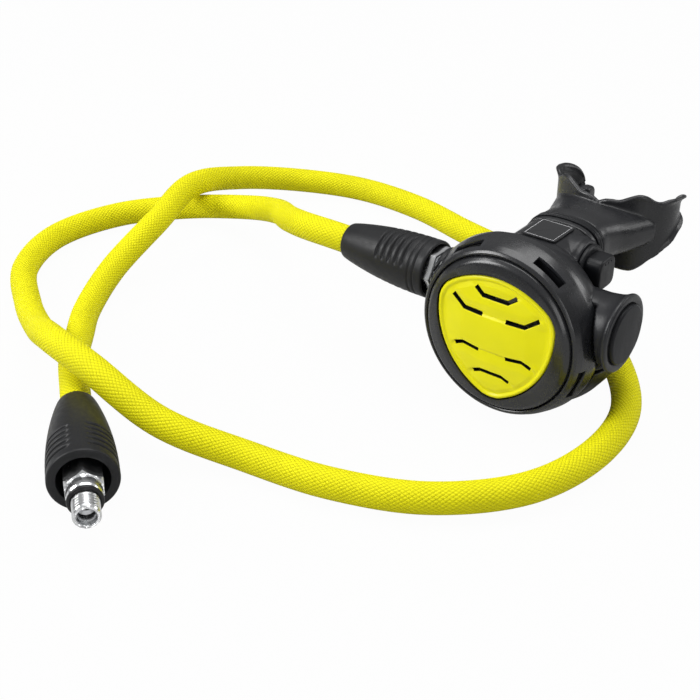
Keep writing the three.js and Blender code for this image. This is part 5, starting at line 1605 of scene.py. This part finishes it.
def soft_lamp(name, place, aim, size, power):
    clear_selection()
    bpy.ops.object.light_add(type="AREA", location=place)
    lamp = bpy.context.object
    lamp.name = name
    lamp.data.shape = "RECTANGLE"
    lamp.data.size, lamp.data.size_y = size
    lamp.data.energy = power
    lamp.rotation_euler = (Vector(aim) - Vector(place)).to_track_quat("-Z", "Y").to_euler()


def floor_material():
    material = bpy.data.materials.new("pale_floor")
    tree = Nodes(material)
    rays = tree.node("LightPath").outputs
    seen = tree.math("MULTIPLY", rays["Is Camera Ray"], FLOOR_SEEN)
    share = tree.math("MULTIPLY_ADD", rays["Is Glossy Ray"], FLOOR_MIRRORED, seen)
    matt = tree.node("BsdfDiffuse", FLOOR_COLOUR)
    glow = tree.node("Emission", WHITE)
    mixed = tree.node("MixShader", share, matt.outputs[0], glow.outputs[0])
    tree.node("OutputMaterial", mixed.outputs[0])
    return material


def room():
    """A world that gives more light from higher up, and is plain white where the camera sees it."""
    world = bpy.data.worlds.new("studio")
    tree = Nodes(world)
    direction = tree.node("SeparateXYZ", tree.node("TexCoord").outputs["Generated"])
    strength = tree.node("MapRange", direction.outputs["Z"], *ROOM_SINES, *ROOM_LIGHT)
    strength.interpolation_type = "SMOOTHSTEP"
    light = tree.node("Background", WHITE, strength.outputs[0])
    backdrop = tree.node("Background", WHITE, 1.0)
    camera_ray = tree.node("LightPath").outputs["Is Camera Ray"]
    mixed = tree.node("MixShader", camera_ray, light.outputs[0], backdrop.outputs[0])
    tree.node("OutputWorld", mixed.outputs[0])
    return world


class REGULATOR_OT_camera(bpy.types.Operator):
    """Set up the camera at the photographed angle"""

    bl_idname = "regulator.camera"
    bl_label = "Camera"

    def execute(self, context):
        clear_selection()
        bpy.ops.object.camera_add(location=CAMERA_PLACE)
        camera = bpy.context.object
        camera.name = "view_camera"
        back = CAMERA_RIGHT.cross(CAMERA_UP)
        camera.rotation_euler = Matrix((CAMERA_RIGHT, CAMERA_UP, back)).transposed().to_euler()
        camera.data.lens = CAMERA_LENS
        camera.data.sensor_width = SENSOR
        camera.data.clip_start = 0.01
        context.scene.camera = camera
        return {"FINISHED"}


class REGULATOR_OT_stage(bpy.types.Operator):
    """Make the pale floor, the soft lamps and the surrounding light"""

    bl_idname = "regulator.stage"
    bl_label = "Stage"

    def execute(self, context):
        clear_selection()
        bpy.ops.mesh.primitive_grid_add(
            x_subdivisions=4, y_subdivisions=4, size=FLOOR_SIZE, location=(0, 0, -FLOOR_DROP))
        floor = bpy.context.object
        floor.name = "floor"
        floor.data.materials.append(floor_material())
        for name, lamp in LAMPS.items():
            soft_lamp(name, *lamp)
        context.scene.world = room()
        context.scene.view_settings.view_transform = "Standard"
        return {"FINISHED"}


class REGULATOR_PT_panel(bpy.types.Panel):
    """Sizes, colours and the steps that build the regulator"""

    bl_idname = "REGULATOR_PT_panel"
    bl_label = "Diving Regulator"
    bl_space_type = "VIEW_3D"
    bl_region_type = "UI"
    bl_category = "Regulator"

    def draw(self, context):
        layout = self.layout
        for group in (context.scene.regulator_sizes, context.scene.regulator_colours):
            box = layout.box()
            for key in group.bl_rna.properties.keys():
                if key not in ("rna_type", "name"):
                    box.prop(group, key)
        column = layout.column(align=True)
        for step in STEPS:
            column.operator(step.bl_idname)


STEPS = (
    REGULATOR_OT_camera,
    REGULATOR_OT_hose,
    REGULATOR_OT_sleeves,
    REGULATOR_OT_inlet_nuts,
    REGULATOR_OT_end_fitting,
    REGULATOR_OT_ring,
    REGULATOR_OT_cover,
    REGULATOR_OT_button,
    REGULATOR_OT_grille,
    REGULATOR_OT_case,
    REGULATOR_OT_side_cap,
    REGULATOR_OT_knob,
    REGULATOR_OT_exhaust,
    REGULATOR_OT_mouthpiece,
    REGULATOR_OT_tie,
    REGULATOR_OT_badge,
    REGULATOR_OT_inner_parts,
    REGULATOR_OT_stage,
)
CLASSES = (RegulatorSizes, RegulatorColours, *STEPS, REGULATOR_PT_panel)


def register():
    for cls in CLASSES:
        bpy.utils.register_class(cls)
    bpy.types.Scene.regulator_sizes = bpy.props.PointerProperty(type=RegulatorSizes)
    bpy.types.Scene.regulator_colours = bpy.props.PointerProperty(type=RegulatorColours)


def unregister():
    del bpy.types.Scene.regulator_colours
    del bpy.types.Scene.regulator_sizes
    for cls in reversed(CLASSES):
        bpy.utils.unregister_class(cls)


def declare_hose():
    """Takes the stored route off the hose; the pieces on it and its first point are gathered but not used."""
    hose = bpy.data.objects["braided_hose"]
    del hose["route"]
    on_it = [bpy.data.objects[n] for n in ("inlet_boot", "swivel_hex", "end_boot", "hex_fitting", "end_seal")]
    on_it += [frame["nodes"][n] for n in ("hose_ferrule", "end_ferrule")]
    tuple(HOSE_POINTS[0])


def main():
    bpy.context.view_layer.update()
    register()
    for step in STEPS:
        group, name = step.bl_idname.split(".")
        getattr(getattr(bpy.ops, group), name)()
    declare_hose()
    clear_selection()


if __name__ == "__main__":
    main()
